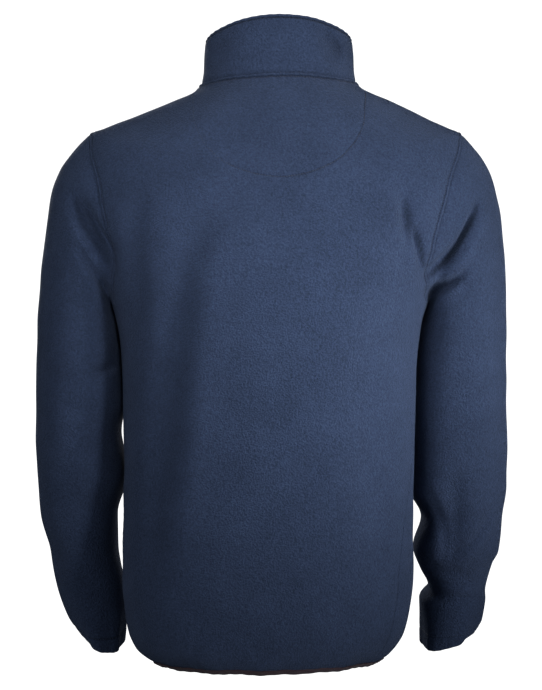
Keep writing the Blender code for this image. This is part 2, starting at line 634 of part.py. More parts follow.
def make_chain(material, parent):
    """Make the closed chain, from the bottom box to the slider's post."""
    body, _ = zip_rows()
    start = HEM_DOWN - BOX_HEIGHT
    body = np.concatenate(((start - SLIDER_GAP,), body[body < start - 3]))
    top = slider_centre()[2] + SLIDER_HALF_LENGTH - POST_LENGTH - SLIDER_GAP
    reach = top - COLLAR["seam"][5]
    ups = np.linspace(0, COLLAR_UP * reach / (RIM_FRONT_Z - COLLAR["seam"][5]), COLLAR_ROWS + 1)[1:]
    outer, inner = across_centre(chain_depths(), body, ups, CHAIN_HALF)
    add_wall("zip_chain", outer, inner, material, parent)


def make_box(material, parent):
    """Make the box that closes the bottom of the zip."""
    low, high = chain_depths()
    body = np.array((HEM_DOWN, HEM_DOWN - BOX_HEIGHT / 2, HEM_DOWN - BOX_HEIGHT))
    outer, inner = across_centre((low - 0.3, high + 0.3), body, (), CHAIN_HALF)
    add_wall("zip_box", outer, inner, material, parent)


def make_slider(material, parent):
    """Make the slider: two plates round the chain, the post between them and the pull's arch."""
    centre = slider_centre()
    length = SLIDER_HALF_LENGTH
    width = SLIDER_HALF_WIDTH
    front = SLIDER_GAP + SLIDER_PLATE
    back = -(CHAIN_WALL + SLIDER_GAP + SLIDER_PLATE)
    arch = front + ARCH_TUNNEL
    leg = ARCH_HALF_LENGTH - ARCH_WALL

    def block(half_width, low_out, high_out, low_up, high_up):
        """Return a box from distances out of the chain's face and up from the slider's centre."""
        low = centre + (-half_width, -high_out, low_up)
        high = centre + (half_width, -low_out, high_up)
        return box_points(low, high)

    blocks = (
        block(width, SLIDER_GAP, front, -length, length),
        block(width, back, back + SLIDER_PLATE, -length, length),
        block(POST_HALF_WIDTH, back + 0.5, front - 0.5, length - POST_LENGTH, length - 0.3),
        block(ARCH_HALF_WIDTH, front - 0.5, arch, leg, ARCH_HALF_LENGTH),
        block(ARCH_HALF_WIDTH, front - 0.5, arch, -ARCH_HALF_LENGTH, -leg),
        block(ARCH_HALF_WIDTH + 0.02, arch - 0.02, arch + ARCH_WALL, -ARCH_HALF_LENGTH - 0.02,
              ARCH_HALF_LENGTH + 0.02),
    )
    slider = add_object("zip_slider", *blocks[0], material, parent, centre)
    for number, (points, faces) in enumerate(blocks[1:]):
        helper = add_object(f"slider_block_{number}", points, faces, material, parent, centre)
        helper.hide_render = True
        helper.display_type = "WIRE"
        joined = slider.modifiers.new(f"join_{number}", "BOOLEAN")
        joined.operation = "UNION"
        joined.object = helper


def rounded_reach(angle, half_width, top, bottom, corner):
    """Return how far a ray from the origin runs to a round-cornered tab's outline."""
    direction = np.array((math.sin(angle), math.cos(angle)))
    lengths = np.linspace(0, bottom + top, 2400)
    points = lengths[:, None] * direction
    middle = np.array((0, (top - bottom) / 2))
    half = np.array((half_width - corner, (top + bottom) / 2 - corner))
    outside = np.abs(points - middle) - half
    distance = np.linalg.norm(np.maximum(outside, 0), axis=1) + np.minimum(outside.max(axis=1), 0) - corner
    return lengths[int(np.argmax(distance > 0))]


def make_pull(material, parent):
    """Make the pull, a flat tab whose cross-bar turns under the slider's arch."""
    centre = slider_centre()
    turn_y = centre[1] - (SLIDER_GAP + SLIDER_PLATE + ARCH_TUNNEL / 2 + 0.1)
    axis = np.array((centre[0], turn_y, centre[2]))
    eye_middle = -(PULL_BAR / 2 + PULL_EYE_LENGTH / 2)
    top = PULL_BAR / 2 - eye_middle
    bottom = PULL_LENGTH - PULL_BAR / 2 + eye_middle
    half_eye = PULL_EYE_LENGTH / 2
    outline = []
    eye = []
    for ray in range(PULL_RAYS):
        angle = 2 * math.pi * ray / PULL_RAYS
        direction = np.array((math.sin(angle), math.cos(angle)))
        outline.append(direction * rounded_reach(angle, PULL_HALF_WIDTH, top, bottom, PULL_CORNER))
        eye.append(direction * rounded_reach(angle, PULL_EYE_HALF_WIDTH, half_eye, half_eye, PULL_EYE_CORNER))
    points = []
    for depth in (-PULL_WALL / 2, PULL_WALL / 2):
        for loop in (outline, eye):
            points += [axis + (across, depth, eye_middle + up) for across, up in loop]
    faces = []
    for ray in range(PULL_RAYS):
        after = (ray + 1) % PULL_RAYS
        for first, second in ((0, 1), (3, 2), (1, 3), (2, 0)):
            faces.append([first * PULL_RAYS + ray, first * PULL_RAYS + after,
                          second * PULL_RAYS + after, second * PULL_RAYS + ray])
    add_object("zip_pull", points, faces, material, parent, axis)


def main():
    for thing in list(bpy.data.objects):
        bpy.data.objects.remove(thing, do_unlink=True)
    jacket = bpy.data.objects.new("jacket", None)
    bpy.context.scene.collection.objects.link(jacket)
    fleece = {name: make_material(f"{name}_fleece", NAVY, 0.95)
              for name in ("back", "front_left", "front_right", "sleeve_left", "sleeve_right", "collar")}
    make_back(fleece["back"], jacket)
    make_front(1, fleece["front_left"], jacket)
    make_front(-1, fleece["front_right"], jacket)
    make_sleeve(1, fleece["sleeve_left"], jacket)
    make_sleeve(-1, fleece["sleeve_right"], jacket)
    make_collar(fleece["collar"], jacket)
    make_binding(make_material("binding_elastic", BURGUNDY, 0.8), jacket)
    make_tape(1, make_material("tape_left", NAVY_TAPE, 0.85), jacket)
    make_tape(-1, make_material("tape_right", NAVY_TAPE, 0.85), jacket)
    make_chain(make_material("chain_plastic", NAVY_TAPE, 0.5), jacket)
    make_box(make_material("box_plastic", NAVY_TAPE, 0.45), jacket)
    make_slider(make_material("slider_metal", METAL, 0.4, 0.9), jacket)
    make_pull(make_material("pull_metal", METAL, 0.4, 0.9), jacket)


main()
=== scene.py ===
"""Looks of the fleece zip jacket: fine cloth shells, seams, stitching, zip and a plain studio.

Sizes are in millimetres and become metres when a mesh is made. The front faces -Y, +Z is up,
and the wearer's left is +X. The body, collar and sleeves repeat the solids' own rings and
folds, on a finer grid.
"""
import math

import bmesh
import bpy
import numpy as np
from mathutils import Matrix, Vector
from mathutils.bvhtree import BVHTree


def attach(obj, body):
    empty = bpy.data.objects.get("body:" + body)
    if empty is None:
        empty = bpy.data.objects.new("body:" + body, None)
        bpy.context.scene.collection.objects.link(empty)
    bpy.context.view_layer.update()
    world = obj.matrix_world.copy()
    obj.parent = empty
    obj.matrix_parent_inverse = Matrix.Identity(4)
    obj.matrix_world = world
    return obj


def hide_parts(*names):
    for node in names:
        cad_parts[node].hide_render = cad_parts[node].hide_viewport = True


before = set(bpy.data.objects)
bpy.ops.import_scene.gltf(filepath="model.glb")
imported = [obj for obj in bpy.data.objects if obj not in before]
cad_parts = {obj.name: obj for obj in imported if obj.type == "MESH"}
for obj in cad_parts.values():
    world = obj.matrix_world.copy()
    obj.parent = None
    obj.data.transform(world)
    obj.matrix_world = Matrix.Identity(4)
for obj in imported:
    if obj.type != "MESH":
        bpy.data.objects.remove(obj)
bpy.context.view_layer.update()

MM = 0.001
BODY = "jacket"

# Cloth and seams
FLEECE = 2.2
COLLAR_WALL = 4.0
COLLAR_PROUD = 0.9
SEAM_ROLL = 0.5          # how far a panel's edge dives into its seam
SEAM_ROLL_WIDTH = 1.3
NECK_ALLOWANCE = 1.5     # height of the seam allowance under a topstitched edge
ARMHOLE_ALLOWANCE = 0.6
STITCH_AWAY = 5.5        # from a seam to its topstitch
COLLAR_STITCH = 4.0      # from the collar's rim to its topstitch
CUFF_TURN = 15.0         # cloth turned in at the cuff
CUFF_DOUBLING = 0.8      # how much thicker the cloth is there
CUFF_GROOVE = 0.8        # share of a topstitch's groove at the cuff's line
CUFF_GROOVE_WIDTH = 1.8
TUCK = 3.0               # how far the collar's lower edge goes into the neck seam
GROOVE = 0.8             # how far a topstitch pulls the cloth in
GROOVE_WIDTH = 1.4
PUCKER = 0.3
PUCKER_PITCH = 11.0
SEAM_PUCKER = 0.6        # share of it at a plain seam
SEAM_PUCKER_WIDTH = 7.0
TOPSTITCH_PUCKER_WIDTH = 5.0
LINE_PUCKER_WIDTH = 6.0
ALLOWANCE_START = 0.6    # where a seam allowance starts to lift the cloth, and how it rises and ends
ALLOWANCE_RISE = 1.6
ALLOWANCE_FALL = 1.2
LIP_STEPS = 6            # facets round a turned edge
COLLAR_ROLL = 2.2        # how far the collar's lower edge dives into the neck seam
COLLAR_ROLL_WIDTH = 1.3
COLLAR_SEAM_SHARE = 0.55 # share of the height that counts as the distance from the neck seam, which spreads the painted shade by that seam up the collar

# Thread
THREAD = 0.26            # half a thread's thickness
HEAVY = 1.7              # how much thicker the dark thread at the neck is
STITCH_LENGTH = 2.5
STITCH_PITCH = 3.1
STITCH_RINGS = (   # place along the stitch, thickness, lift
    (-0.5, 0.15, -0.45), (-0.36, 0.9, 0.1), (0.0, 1.0, 0.35), (0.36, 0.9, 0.1), (0.5, 0.15, -0.45))
STITCH_CORNERS = 6
LAY_FROM = 12.0          # a thread is laid on the cloth from this far above it
LAY_REACH = 30.0

# Hem binding
BINDING = 1.2
BINDING_HEIGHT = 5.0
BINDING_GAP = 0.35
BINDING_PARTS = (0, 0.33, 0.66, 1)   # rows of each leaf, from its top to the hem
BINDING_TURNS = 7        # facets of the fold under the hem

# Zip
FRONT_EDGE = 5.5
TAPE_EDGE = 3.4
TAPE_WIDTH = 13.0
TAPE_WALL = 0.8
TAPE_GAP = 0.5
TAPE_END = 1.0
ZIP_MIDDLE = FLEECE + TAPE_GAP + TAPE_WALL / 2   # how deep the zip's middle lies in the cloth
CHAIN_WALL = 2.4
ZIP_TOP_MARGIN = 2.0
BOX_HEIGHT = 12.0
BOX_AWAYS = (5.1, 4.6, 1.2, 0.15)   # columns of each half of the box, from its side to its middle
BOX_EDGE_DROP = 0.5      # how much deeper its sides and its middle lie
BOX_PROUD = 0.1
BOX_BEHIND = 0.2
TOOTH_PITCH = 1.5
TOOTH_RINGS = (   # reach past the centre line, half height, share of the chain's thickness
    (-2.9, 0.45, 0.75), (-1.1, 0.45, 0.85), (0.1, 0.40, 0.95), (0.9, 0.48, 1.0), (1.25, 0.25, 0.6))
TOOTH_CORNERS = 6
TEETH_BELOW_SLIDER_TOP = 3.0
SLIDER_BELOW_RIM = 9.0
SLIDER_HALF_WIDTH = 4.0
SLIDER_HALF_LENGTH = 5.0
SLIDER_OUTLINE = ((0.62, -1), (0.72, -0.55), (0.98, 0.1), (1, 0.55), (0.8, 0.92), (0.3, 1))
SLIDER_PLATE = 1.2
SLIDER_GAP = 0.35
POST_HALF_WIDTH = 1.2
ARCH_HALF_WIDTH = 1.1
ARCH_HALF_LENGTH = 4.0
ARCH_WALL = 1.0
ARCH_TUNNEL = 2.8
ARCH_CORNER = 1.4
ARCH_STEPS = 6
PULL_WALL = 1.4
PULL_HALF_WIDTH = 3.0
PULL_BAR = 1.3
PULL_EYE_HALF_WIDTH = 1.5
PULL_EYE_LENGTH = 4.6
PULL_LENGTH = 27.0
GRIP_RIDGES = 6
GRIP_BELOW = 14.0        # from the pull's axis to its first ridge
GRIP_PITCH = 1.7
GRIP_HALF_WIDTH = 2.0
GRIP_HALF_HEIGHT = 0.45
GRIP_LIFT = 0.28
GRIP_SINK = 0.05
GRIP_COLUMNS = 7

# Rings of the body from the neck seam to the hem. "down" is the distance along the centre
# back, each ring's height is given at its side, back and front, and its half width and
# depths are taken from centre_x. "power" shapes its outline, "rise" its height round it,
# "tilt" lowers its left side and lifts its right, and the side seams are in degrees.
RING_COLUMNS = ("down", "z_side", "half_width", "z_back", "depth_back", "z_front", "depth_front",
                "centre_x", "power", "rise", "tilt", "seam_left", "seam_right")
TORSO = {
    "neck":        (0, 0, 90, 7, 70, -62, 80, 0.3, 2.0, 2.0, 1, 0, 0),
    "neck_base":   (10, -9.5, 101, -3, 76, -71, 83.5, 0.6, 2.02, 2.0, 2, 0, 0),
    "collar_bone": (25, -18.2, 121, -18, 84, -84, 88.5, 1.2, 2.04, 2.0, 2.4, 0, 0),
    "yoke":        (46, -30, 149, -38.5, 93, -103, 94.5, 2, 2.07, 2.0, 1.6, 0, 0),
    "upper":       (70, -42, 177, -61, 100.3, -123, 100.7, 3, 2.1, 2.0, 1.1, 0, 0),
    "outer_yoke":  (95, -53, 202, -83, 106, -141, 105.3, 3.6, 2.15, 2.0, 0.5, 0, 0),
    "shoulder":    (119, -60.5, 219, -104, 110.5, -158, 109, 4, 2.2, 2.0, 0, 0, 0),
    "deltoid":     (147, -90, 229, -133, 115.5, -183, 113.9, 5.5, 2.25, 2.0, 0, 0, 0),
    "blade":       (177, -131, 228, -165, 120.3, -213, 118.3, 7, 2.3, 2.0, 0, 0, 0),
    "scye":        (214, -186, 214, -204, 124.8, -247, 121.3, 9, 2.35, 2.0, 0, 0, 0),
    "scye_low":    (245, -231, 198, -237, 127, -273, 121.5, 10, 2.38, 2.0, 0, 0, 0),
    "armpit":      (269, -262, 185, -262.5, 127.5, -290, 121, 10.5, 2.4, 2.0, 0, 0, 0),
    "underarm":    (295, -289, 178.2, -289, 127, -306, 120.5, 11, 2.4, 2.0, 0, 0, 1),
    "chest":       (325, -318, 174.5, -318, 125, -326, 119.7, 11.5, 2.4, 2.0, 0, 0, 3),
    "ribs":        (370, -363, 172.6, -363, 121, -365, 117.4, 11.5, 2.4, 2.0, 0, 0, 5),
    "waist":       (430, -423, 171.3, -423, 116.5, -423, 114, 11.5, 2.37, 2.0, 0, 1, 10),
    "high_hip":    (510, -503, 170.8, -503, 113, -503, 112, 12.6, 2.35, 2.0, 0, 1, 22),
    "hip":         (590, -583, 171.7, -583, 113, -583, 112, 13.3, 2.35, 2.0, 0, 2, 30),
    "blouse":      (625, -618, 167.7, -618, 111, -618, 110, 13.8, 2.3, 2.0, 0, 2, 30),
    "pull_in":     (652, -645, 162.3, -645, 106, -645, 105, 14.8, 2.25, 2.0, 0.5, 2, 30),
    "curl":        (671, -663, 153.5, -665, 99, -664, 98, 15.2, 2.2, 2.0, 1, 2, 30),
    "edge":        (683, -674.5, 141, -678, 91, -676, 90, 13, 2.12, 2.0, 1.6, 2, 30),
    "hem":         (692, -682, 126.5, -686, 83, -684, 82, 11.5, 2.05, 2.0, 2, 2, 30),
}
COLLAR = {
    "seam":  (0, 0, 90, 7, 70, -62, 80, 0.3, 2.0, 2.0, 1, 0, 0),
    "stand": (16, 15, 87.8, 23, 71.5, -46, 80, 0.3, 2.0, 1.9, 1.2, 0, 0),
    "mid":   (40, 32, 87.2, 47, 73.5, -22, 80, 0.3, 2.0, 1.6, 1, 0, 0),
    "rim":   (67, 50, 85.6, 74, 74, 10, 80, 0.3, 2.0, 1.4, 0.8, 0, 0),
}
ARMHOLE_BACK = 31.0
ARMHOLE_FRONT = 38.0
ARMHOLE_POWER = 1.15

# Rings of each sleeve from the armhole to the cuff's mouth. Each ring is a loop with an outer
# and an inner point, as distances from the origin's plane, half its depth, and how far its
# back hangs below its middle.
SLEEVE_COLUMNS = ("along", "x_out", "z_out", "x_in", "z_in", "half_depth", "centre_y", "power", "drop")
SLEEVE_LEFT = {
    "scye":        (0, 223, -60.5, 195.5, -262, 77, -1, 2.0, 0),
    "head_1":      (14, 236.5, -73, 196.5, -259.5, 77, -6, 2.0, 0),
    "head_2":      (30, 248, -86, 197.6, -259, 77, -12, 2.0, 0),
    "head_3":      (50, 259.3, -101, 198, -262, 77, -17, 2.05, 0),
    "head_4":      (75, 268.7, -124, 196, -270, 76, -21, 2.1, 0),
    "head_5":      (110, 274.5, -159, 191.6, -284, 75, -24, 2.15, 0),
    "biceps":      (160, 280.6, -206, 187.4, -305, 74, -26, 2.2, 0),
    "upper":       (215, 285, -253, 184.4, -335, 72, -28, 2.2, 0),
    "above_elbow": (290, 288.8, -332, 182.2, -374, 69, -32, 2.2, 0),
    "elbow":       (370, 289.8, -411, 187.7, -412, 66, -39, 2.2, 0),
    "below_elbow": (430, 288.3, -468.4, 181, -462.4, 63, -50, 2.2, 1),
    "forearm":     (476, 285.8, -511, 193.3, -509, 59, -62, 2.2, 3),
    "lower":       (516, 276.3, -549.6, 193.7, -551.6, 55, -73, 2.15, 6),
    "wrist":       (560, 268.8, -595.5, 186, -598.6, 50, -86, 2.1, 10),
    "cuff":        (593, 257.3, -628.2, 183.7, -631.2, 45, -95, 2.1, 15),
    "mouth":       (622, 238.5, -651.7, 188.4, -667, 40, -103, 2.1, 20),
}
SLEEVE_RIGHT = {
    "scye":        (0, 215, -60.5, 174.5, -262, 77, -1, 2.0, 0),
    "head_1":      (14, 228, -73, 175.5, -259.5, 77, -6, 2.0, 0),
    "head_2":      (30, 239.5, -87, 176.6, -259, 77, -12, 2.0, 0),
    "head_3":      (50, 249.9, -105, 177, -262, 77, -17, 2.05, 0),
    "head_4":      (75, 257.2, -127, 173.5, -270, 76, -21, 2.1, 0),
    "head_5":      (110, 263.7, -159, 169, -284, 75, -24, 2.15, 0),
    "biceps":      (160, 267.7, -206, 164.9, -305, 74, -26, 2.2, 0),
    "upper":       (215, 270.3, -253, 161.6, -335, 72, -28, 2.2, 0),
    "above_elbow": (290, 270.5, -335, 159.4, -375, 69, -32, 2.2, 0),
    "elbow":       (370, 272, -411, 157.4, -425, 66, -39, 2.2, 0),
    "below_elbow": (430, 272.7, -472.4, 155.4, -478.4, 63, -50, 2.2, 1),
    "forearm":     (473, 268.3, -514, 171.3, -515, 59, -63, 2.2, 3),
    "lower":       (514, 265, -555.7, 161.7, -552.7, 55, -75, 2.15, 5),
    "wrist_top":   (530, 258.3, -570, 170.4, -576, 51, -80, 2.1, 6),
    "wrist":       (562, 249.9, -603.3, 180.8, -599.7, 46, -89, 2.1, 9),
    "cuff_top":    (578, 251, -616, 170.2, -614, 47, -93, 2.1, 10),
    "cuff":        (602, 248.2, -634.4, 172, -641.4, 45, -98, 2.1, 12),
    "mouth":       (624, 237.2, -650.2, 172.8, -671, 42, -103, 2.1, 14),
}
SCYE_BLEND = 90.0
SEAM_NORMAL_BLEND = 22.0

# Folds lie on the side named and follow the points, seen from behind as (x, z). A negative
# depth is a ridge.
FOLDS = (   # side, width, depth, points
    ("back", 20, 7.5, ((66, -112), (88, -160), (108, -207), (118, -268), (127, -336), (136, -416),
                       (146, -489), (155, -564), (168, -650))),
    ("back", 20, -3.0, ((36, -130), (66, -215), (82, -310), (96, -420), (116, -580))),
    ("back", 14, 4.5, ((152, -120), (168, -188), (164, -290))),
    ("back", 13, 4.5, ((-150, -104), (-143, -150), (-142, -188), (-152, -240))),
    ("back", 11, 4.5, ((-154, -150), (-164, -200), (-172, -248))),
    ("back", 11, 7.5, ((-248, -128), (-228, -163), (-214, -189), (-200, -207), (-186, -219),
                       (-162, -246))),
    ("back", 10, 5.0, ((-224, -224), (-191, -238), (-160, -260))),
    ("back", 10, 5.5, ((240, -126), (223, -156), (215, -173), (204, -189), (188, -222))),
    ("back", 11, 7.0, ((256, -118), (235, -161), (223, -184), (212, -203), (200, -219),
                       (180, -250))),
    ("back", 9, 4.0, ((224, -340), (204, -335), (180, -328))),
    ("back", 13, 5.0, ((-208, -450), (-207, -520), (-204, -590))),
    ("back", 9, 4.5, ((-170, -568), (-205, -584), (-244, -590))),
    ("back", 9, 4.0, ((-168, -600), (-208, -610), (-246, -614))),
    ("back", 24, 3.5, ((-92, -250), (-104, -400), (-112, -500), (-122, -640))),
    ("front", 18, 6.5, ((82, -128), (108, -210), (119, -310), (127, -420), (142, -570))),
    ("front", 16, 5.5, ((-72, -146), (-95, -225), (-103, -330), (-105, -430), (-112, -540))),
    ("front", 12, 5.0, ((146, -120), (158, -186), (164, -262))),
    ("front", 13, 5.0, ((-126, -132), (-139, -200), (-143, -270))),
    ("front", 18, 3.0, ((72, -390), (80, -470), (86, -560), (88, -650))),
    ("front", 18, 3.0, ((-46, -430), (-60, -520), (-64, -640))),
    ("front", 11, 7.0, ((250, -124), (226, -176), (210, -204), (184, -246))),
    ("front", 10, 5.0, ((236, -196), (216, -222), (186, -262))),
    ("front", 12, 7.0, ((-236, -130), (-210, -180), (-192, -208), (-164, -246))),
    ("front", 12, 4.5, ((286, -366), (250, -394), (196, -404))),
    ("front", 11, 3.0, ((266, -446), (232, -430), (190, -436))),
    ("front", 12, 4.5, ((-268, -352), (-232, -382), (-172, -404))),
    ("front", 11, 3.0, ((-244, -442), (-208, -426), (-164, -430))),
    ("front", 9, 4.5, ((262, -560), (230, -574), (194, -566))),
)
# Sharper creases on the same surfaces, each with a soft ridge beside it. A positive "beside"
# puts the ridge on the left of the route as it runs, seen from behind.
CREASES = (   # side, width, depth, ridge, beside, points
    ("back", 4.6, 7.2, 4.2, -12, ((-236, -128), (-226, -157), (-217, -176), (-208, -191), (-194, -210),
                                  (-180, -223), (-160, -243))),
    ("back", 4.2, 5.6, 3.2, -10, ((-212, -227), (-190, -239), (-178, -248), (-164, -259))),
    ("back", 7.0, 4.4, 2.0, 12, ((-142, -128), (-146, -158), (-150, -186), (-158, -212))),
    ("back", 3.8, 5.6, 2.0, 9, ((-156, -168), (-161, -190), (-165, -208), (-167, -226))),
    ("back", 3.2, 1.6, 0.8, -7, ((-228, -214), (-212, -226), (-196, -246))),
    ("back", 5.0, 5.5, 3.4, 11, ((246, -122), (236, -146), (228, -165), (213, -191), (196, -217),
                                 (186, -236))),
    ("back", 4.0, 4.0, 2.2, 8, ((232, -136), (220, -157), (209, -180), (194, -207), (188, -222))),
    ("back", 4.2, 3.4, 2.0, 9, ((240, -188), (228, -203), (209, -233), (190, -256))),
    ("back", 4.2, 3.2, 1.8, 8, ((226, -342), (204, -337), (184, -330))),
    ("back", 4.6, 1.6, 0.9, 10, ((262, -372), (232, -384), (200, -380))),
    ("back", 4.0, 2.2, 1.2, 9, ((-166, -584), (-190, -593), (-216, -596), (-244, -588))),
    ("back", 4.2, 2.0, 1.2, -9, ((-252, -500), (-238, -530), (-218, -552), (-190, -560))),
    ("back", 5.0, 1.8, 1.0, 10, ((-166, -470), (-186, -500), (-196, -540), (-192, -572))),
    ("back", 4.4, 1.2, 0.7, 8, ((34, -646), (27, -662), (22, -678))),
    ("back", 4.0, 0.9, 0.5, 7, ((-52, -652), (-58, -668), (-60, -680))),
    ("back", 4.0, 1.0, 0.5, 7, ((92, -640), (98, -658), (104, -672))),
    ("front", 4.2, 3.0, 1.8, 9, ((240, -130), (226, -160), (212, -188), (190, -226))),
    ("front", 3.6, 2.4, 1.4, 8, ((232, -190), (214, -214), (190, -244))),
    ("front", 4.2, 3.0, 1.8, -9, ((-228, -128), (-212, -166), (-196, -196), (-170, -232))),
    ("front", 3.6, 2.2, 1.2, -8, ((-216, -196), (-196, -220), (-170, -248))),
    ("front", 4.6, 2.2, 1.2, 10, ((284, -372), (256, -390), (214, -398))),
    ("front", 4.2, 1.8, 1.0, -9, ((276, -416), (248, -424), (206, -416))),
    ("front", 4.6, 2.2, 1.2, -10, ((-266, -360), (-236, -384), (-186, -398))),
    ("front", 4.2, 1.8, 1.0, 9, ((-262, -420), (-226, -428), (-178, -416))),
    ("front", 4.2, 2.0, 1.1, 9, ((258, -566), (234, -578), (204, -572))),
    ("front", 4.2, 1.8, 1.0, -9, ((-250, -560), (-222, -574), (-188, -566))),
    ("front", 4.4, 1.2, 0.7, 9, ((150, -596), (120, -606), (84, -600))),
    ("front", 4.4, 1.2, 0.7, -9, ((-138, -604), (-106, -612), (-74, -604))),
)
COLLAR_FOLDS = (
    ("back", 12, 3.4, ((-46, 70), (-58, 48), (-67, 30), (-74, 6))),
    ("back", 5, 1.6, ((-62, 52), (-69, 40), (-74, 26))),
    ("back", 8, 1.1, ((24, 58), (-8, 66), (-34, 72))),
    ("back", 14, -1.8, ((-30, 84), (-38, 40), (-44, 0))),
    ("back", 12, 1.8, ((58, 80), (66, 44), (70, 4))),
    ("back", 11, 1.2, ((-12, 70), (12, 52), (34, 46))),
    ("front", 12, 1.6, ((48, 40), (44, 4), (40, -34))),
    ("front", 13, 1.4, ((-52, 44), (-46, 10), (-44, -30))),
)
FOLD_STEPS = 3
HEM_GATHERS = {"waves": 15, "depth": 0.6, "drift": 0.9, "drift_waves": 3,
               "fine": 47, "fine_drift": 2, "fine_drift_waves": 5}
HEM_WAVE_START = 640.0
CUFF_GATHERS = {"waves": 7, "depth": 1.5, "drift": 0.8, "drift_waves": 2,
                "fine": 19, "fine_drift": 1.6, "fine_drift_waves": 3}
CUFF_WAVE_START = 50.0   # from the mouth
FINE_GATHER = 0.28       # smaller puckers between the gathers of the hem and cuffs
ARMPIT_BULGE = 1.7       # how far a sleeve's underarm swells towards the body
ARMPIT_ALONG = 58.0      # where it swells most, and how far along and round it reaches
ARMPIT_LENGTH = 26.0
ARMPIT_SHARE = 0.12
UNEVEN = 0.40            # soft unevenness all over the cloth
FOLD_SHADE = 0.5         # how much of a fold's and of a crease's depth darkens the cloth's colour in it, as painted shade
CREASE_SHADE = 1.5
COLLAR_SHADE = 1.8
CREASE_REACH = 40.0      # a crease presses nothing farther away than this
ZIP_X = 12.0             # about where the zip runs
ZIP_FLAT = 18.0          # half the width of the cloth by the zip that stays flat
ZIP_BLEND = 30.0         # width over which the folds then reach their full depth
COLLAR_FREE = 14.0       # height at which the collar's dents reach their full depth

# The half-moon stitching line under the neck, on the back as (x, z), from the left shoulder.
HALF_MOON = ((101, -12), (100.5, -20), (99.5, -28), (98, -49), (88, -73), (79, -84.5),
             (66, -96.5), (45, -107), (22, -113.5), (0, -116))

# Mesh spacing
ROW_STEP = 3.2
COLUMNS_BACK = 112
COLUMNS_FRONT = 52
ARMHOLE_STEPS = 78       # from the shoulder to the armpit
NEAR_SEAM = (0, 0.9, 1.9, 3.0, 4.1, 5.0, 6.0, 7.2, 9.0, 11.6)

# The angle and the length over which a surface's normals are measured
BASE_STEPS = (0.01, 1.5)
FINE_STEPS = (0.008, 1.2)
SLEEVE_BASE_STEPS = (0.02, 1.5)
SLEEVE_FINE_STEPS = (0.02, 1.2)

SIDE_NAMES = {1: "left", -1: "right"}
SLEEVES = {1: SLEEVE_LEFT, -1: SLEEVE_RIGHT}
SHOULDER_DOWN = TORSO["shoulder"][0]
ARMPIT_DOWN = TORSO["armpit"][0]
SCYE_MIDDLE = (SHOULDER_DOWN + ARMPIT_DOWN) / 2
SCYE_HALF = (ARMPIT_DOWN - SHOULDER_DOWN) / 2
HEM_DOWN = TORSO["hem"][0]
COLLAR_UP = COLLAR["rim"][0]
RIM_FRONT_Z = COLLAR["rim"][5]
SEAM_FRONT_Z = COLLAR["seam"][5]
COLLAR_FRONT_Y = -COLLAR["rim"][6]
COLLAR_CENTRE_X = COLLAR["rim"][7]

# The camera stands behind the jacket. It frames 542 by 690 pixels at 1.18 mm a pixel.
CAMERA_AWAY = 3200.0
CAMERA_X = 9.44
CAMERA_Z = -308.0
FIELD_HEIGHT = 814.2
SENSOR_HEIGHT = 24.0
FLOOR_Z = -1480.0
FLOOR_HALF = 6000.0
FLOOR_WHITE = (0.90, 0.90, 0.90)
FLOOR_GLOW = 0.55
SKY = (0.80, 0.90, 1, 1)
SKY_LIGHT = 0.125
LIGHTS = (   # name, sides, place, target, watts, spread in degrees
    ("key", (400, 400), (-1900, 1150, -330), (-150, 50, -310), 0.80, 20),
    ("beam", (400, 400), (-1500, 1700, -450), (-50, 100, -380), 0.88, 32),
    ("top", (500, 500), (-300, 2400, 250), (0, 70, 10), 0.98, 20),
    ("fill", (800, 800), (1100, 1900, -100), (0, 60, -470), 1.45, 50),
    ("front_key", (700, 900), (900, -2500, 500), (0, 0, -300), 42, 180),
    ("front_fill", (900, 1200), (-700, -2700, -200), (0, 0, -300), 20, 180),
)

NAVY = (0.0340, 0.0485, 0.0880)
NAVY_THREAD = (0.034, 0.052, 0.105)
DARK_THREAD = (0.009, 0.014, 0.034)
NAVY_TAPE = (0.014, 0.020, 0.044)
BURGUNDY = (0.0300, 0.0082, 0.0165)
METAL = (0.085, 0.088, 0.10)


# ---------------------------------------------------------------- surfaces

def smooth(knots, values, where):
    """Return a monotone cubic through the knots, held flat outside them."""
    knots = np.asarray(knots, float)
    values = np.asarray(values, float)
    step = np.diff(knots)
    slope = np.diff(values) / step
    tangent = np.empty_like(values)
    tangent[0] = slope[0]
    tangent[-1] = slope[-1]
    before = slope[:-1]
    after = slope[1:]
    total = before + after
    same = before * after > 0
    safe = np.where(same, total, 1.0)
    tangent[1:-1] = np.where(same, 2 * before * after / safe, 0.0)
    where = np.clip(where, knots[0], knots[-1])
    span = np.clip(np.searchsorted(knots, where, side="right") - 1, 0, len(step) - 1)
    width = step[span]
    part = (where - knots[span]) / width
    square = part * part
    cube = square * part
    return ((2 * cube - 3 * square + 1) * values[span] + (cube - 2 * square + part) * width * tangent[span]
            + (3 * square - 2 * cube) * values[span + 1] + (cube - square) * width * tangent[span + 1])


def read(table, columns, where):
    """Return a dict of every column of a ring table at the places asked for."""
    rows = np.array(list(table.values()), float)
    return {name: smooth(rows[:, 0], rows[:, index], where) for index, name in enumerate(columns)}


def signed_power(value, power):
    return np.sign(value) * np.abs(value) ** power


def unit(vectors):
    return vectors / np.maximum(np.linalg.norm(vectors, axis=-1, keepdims=True), 1e-9)


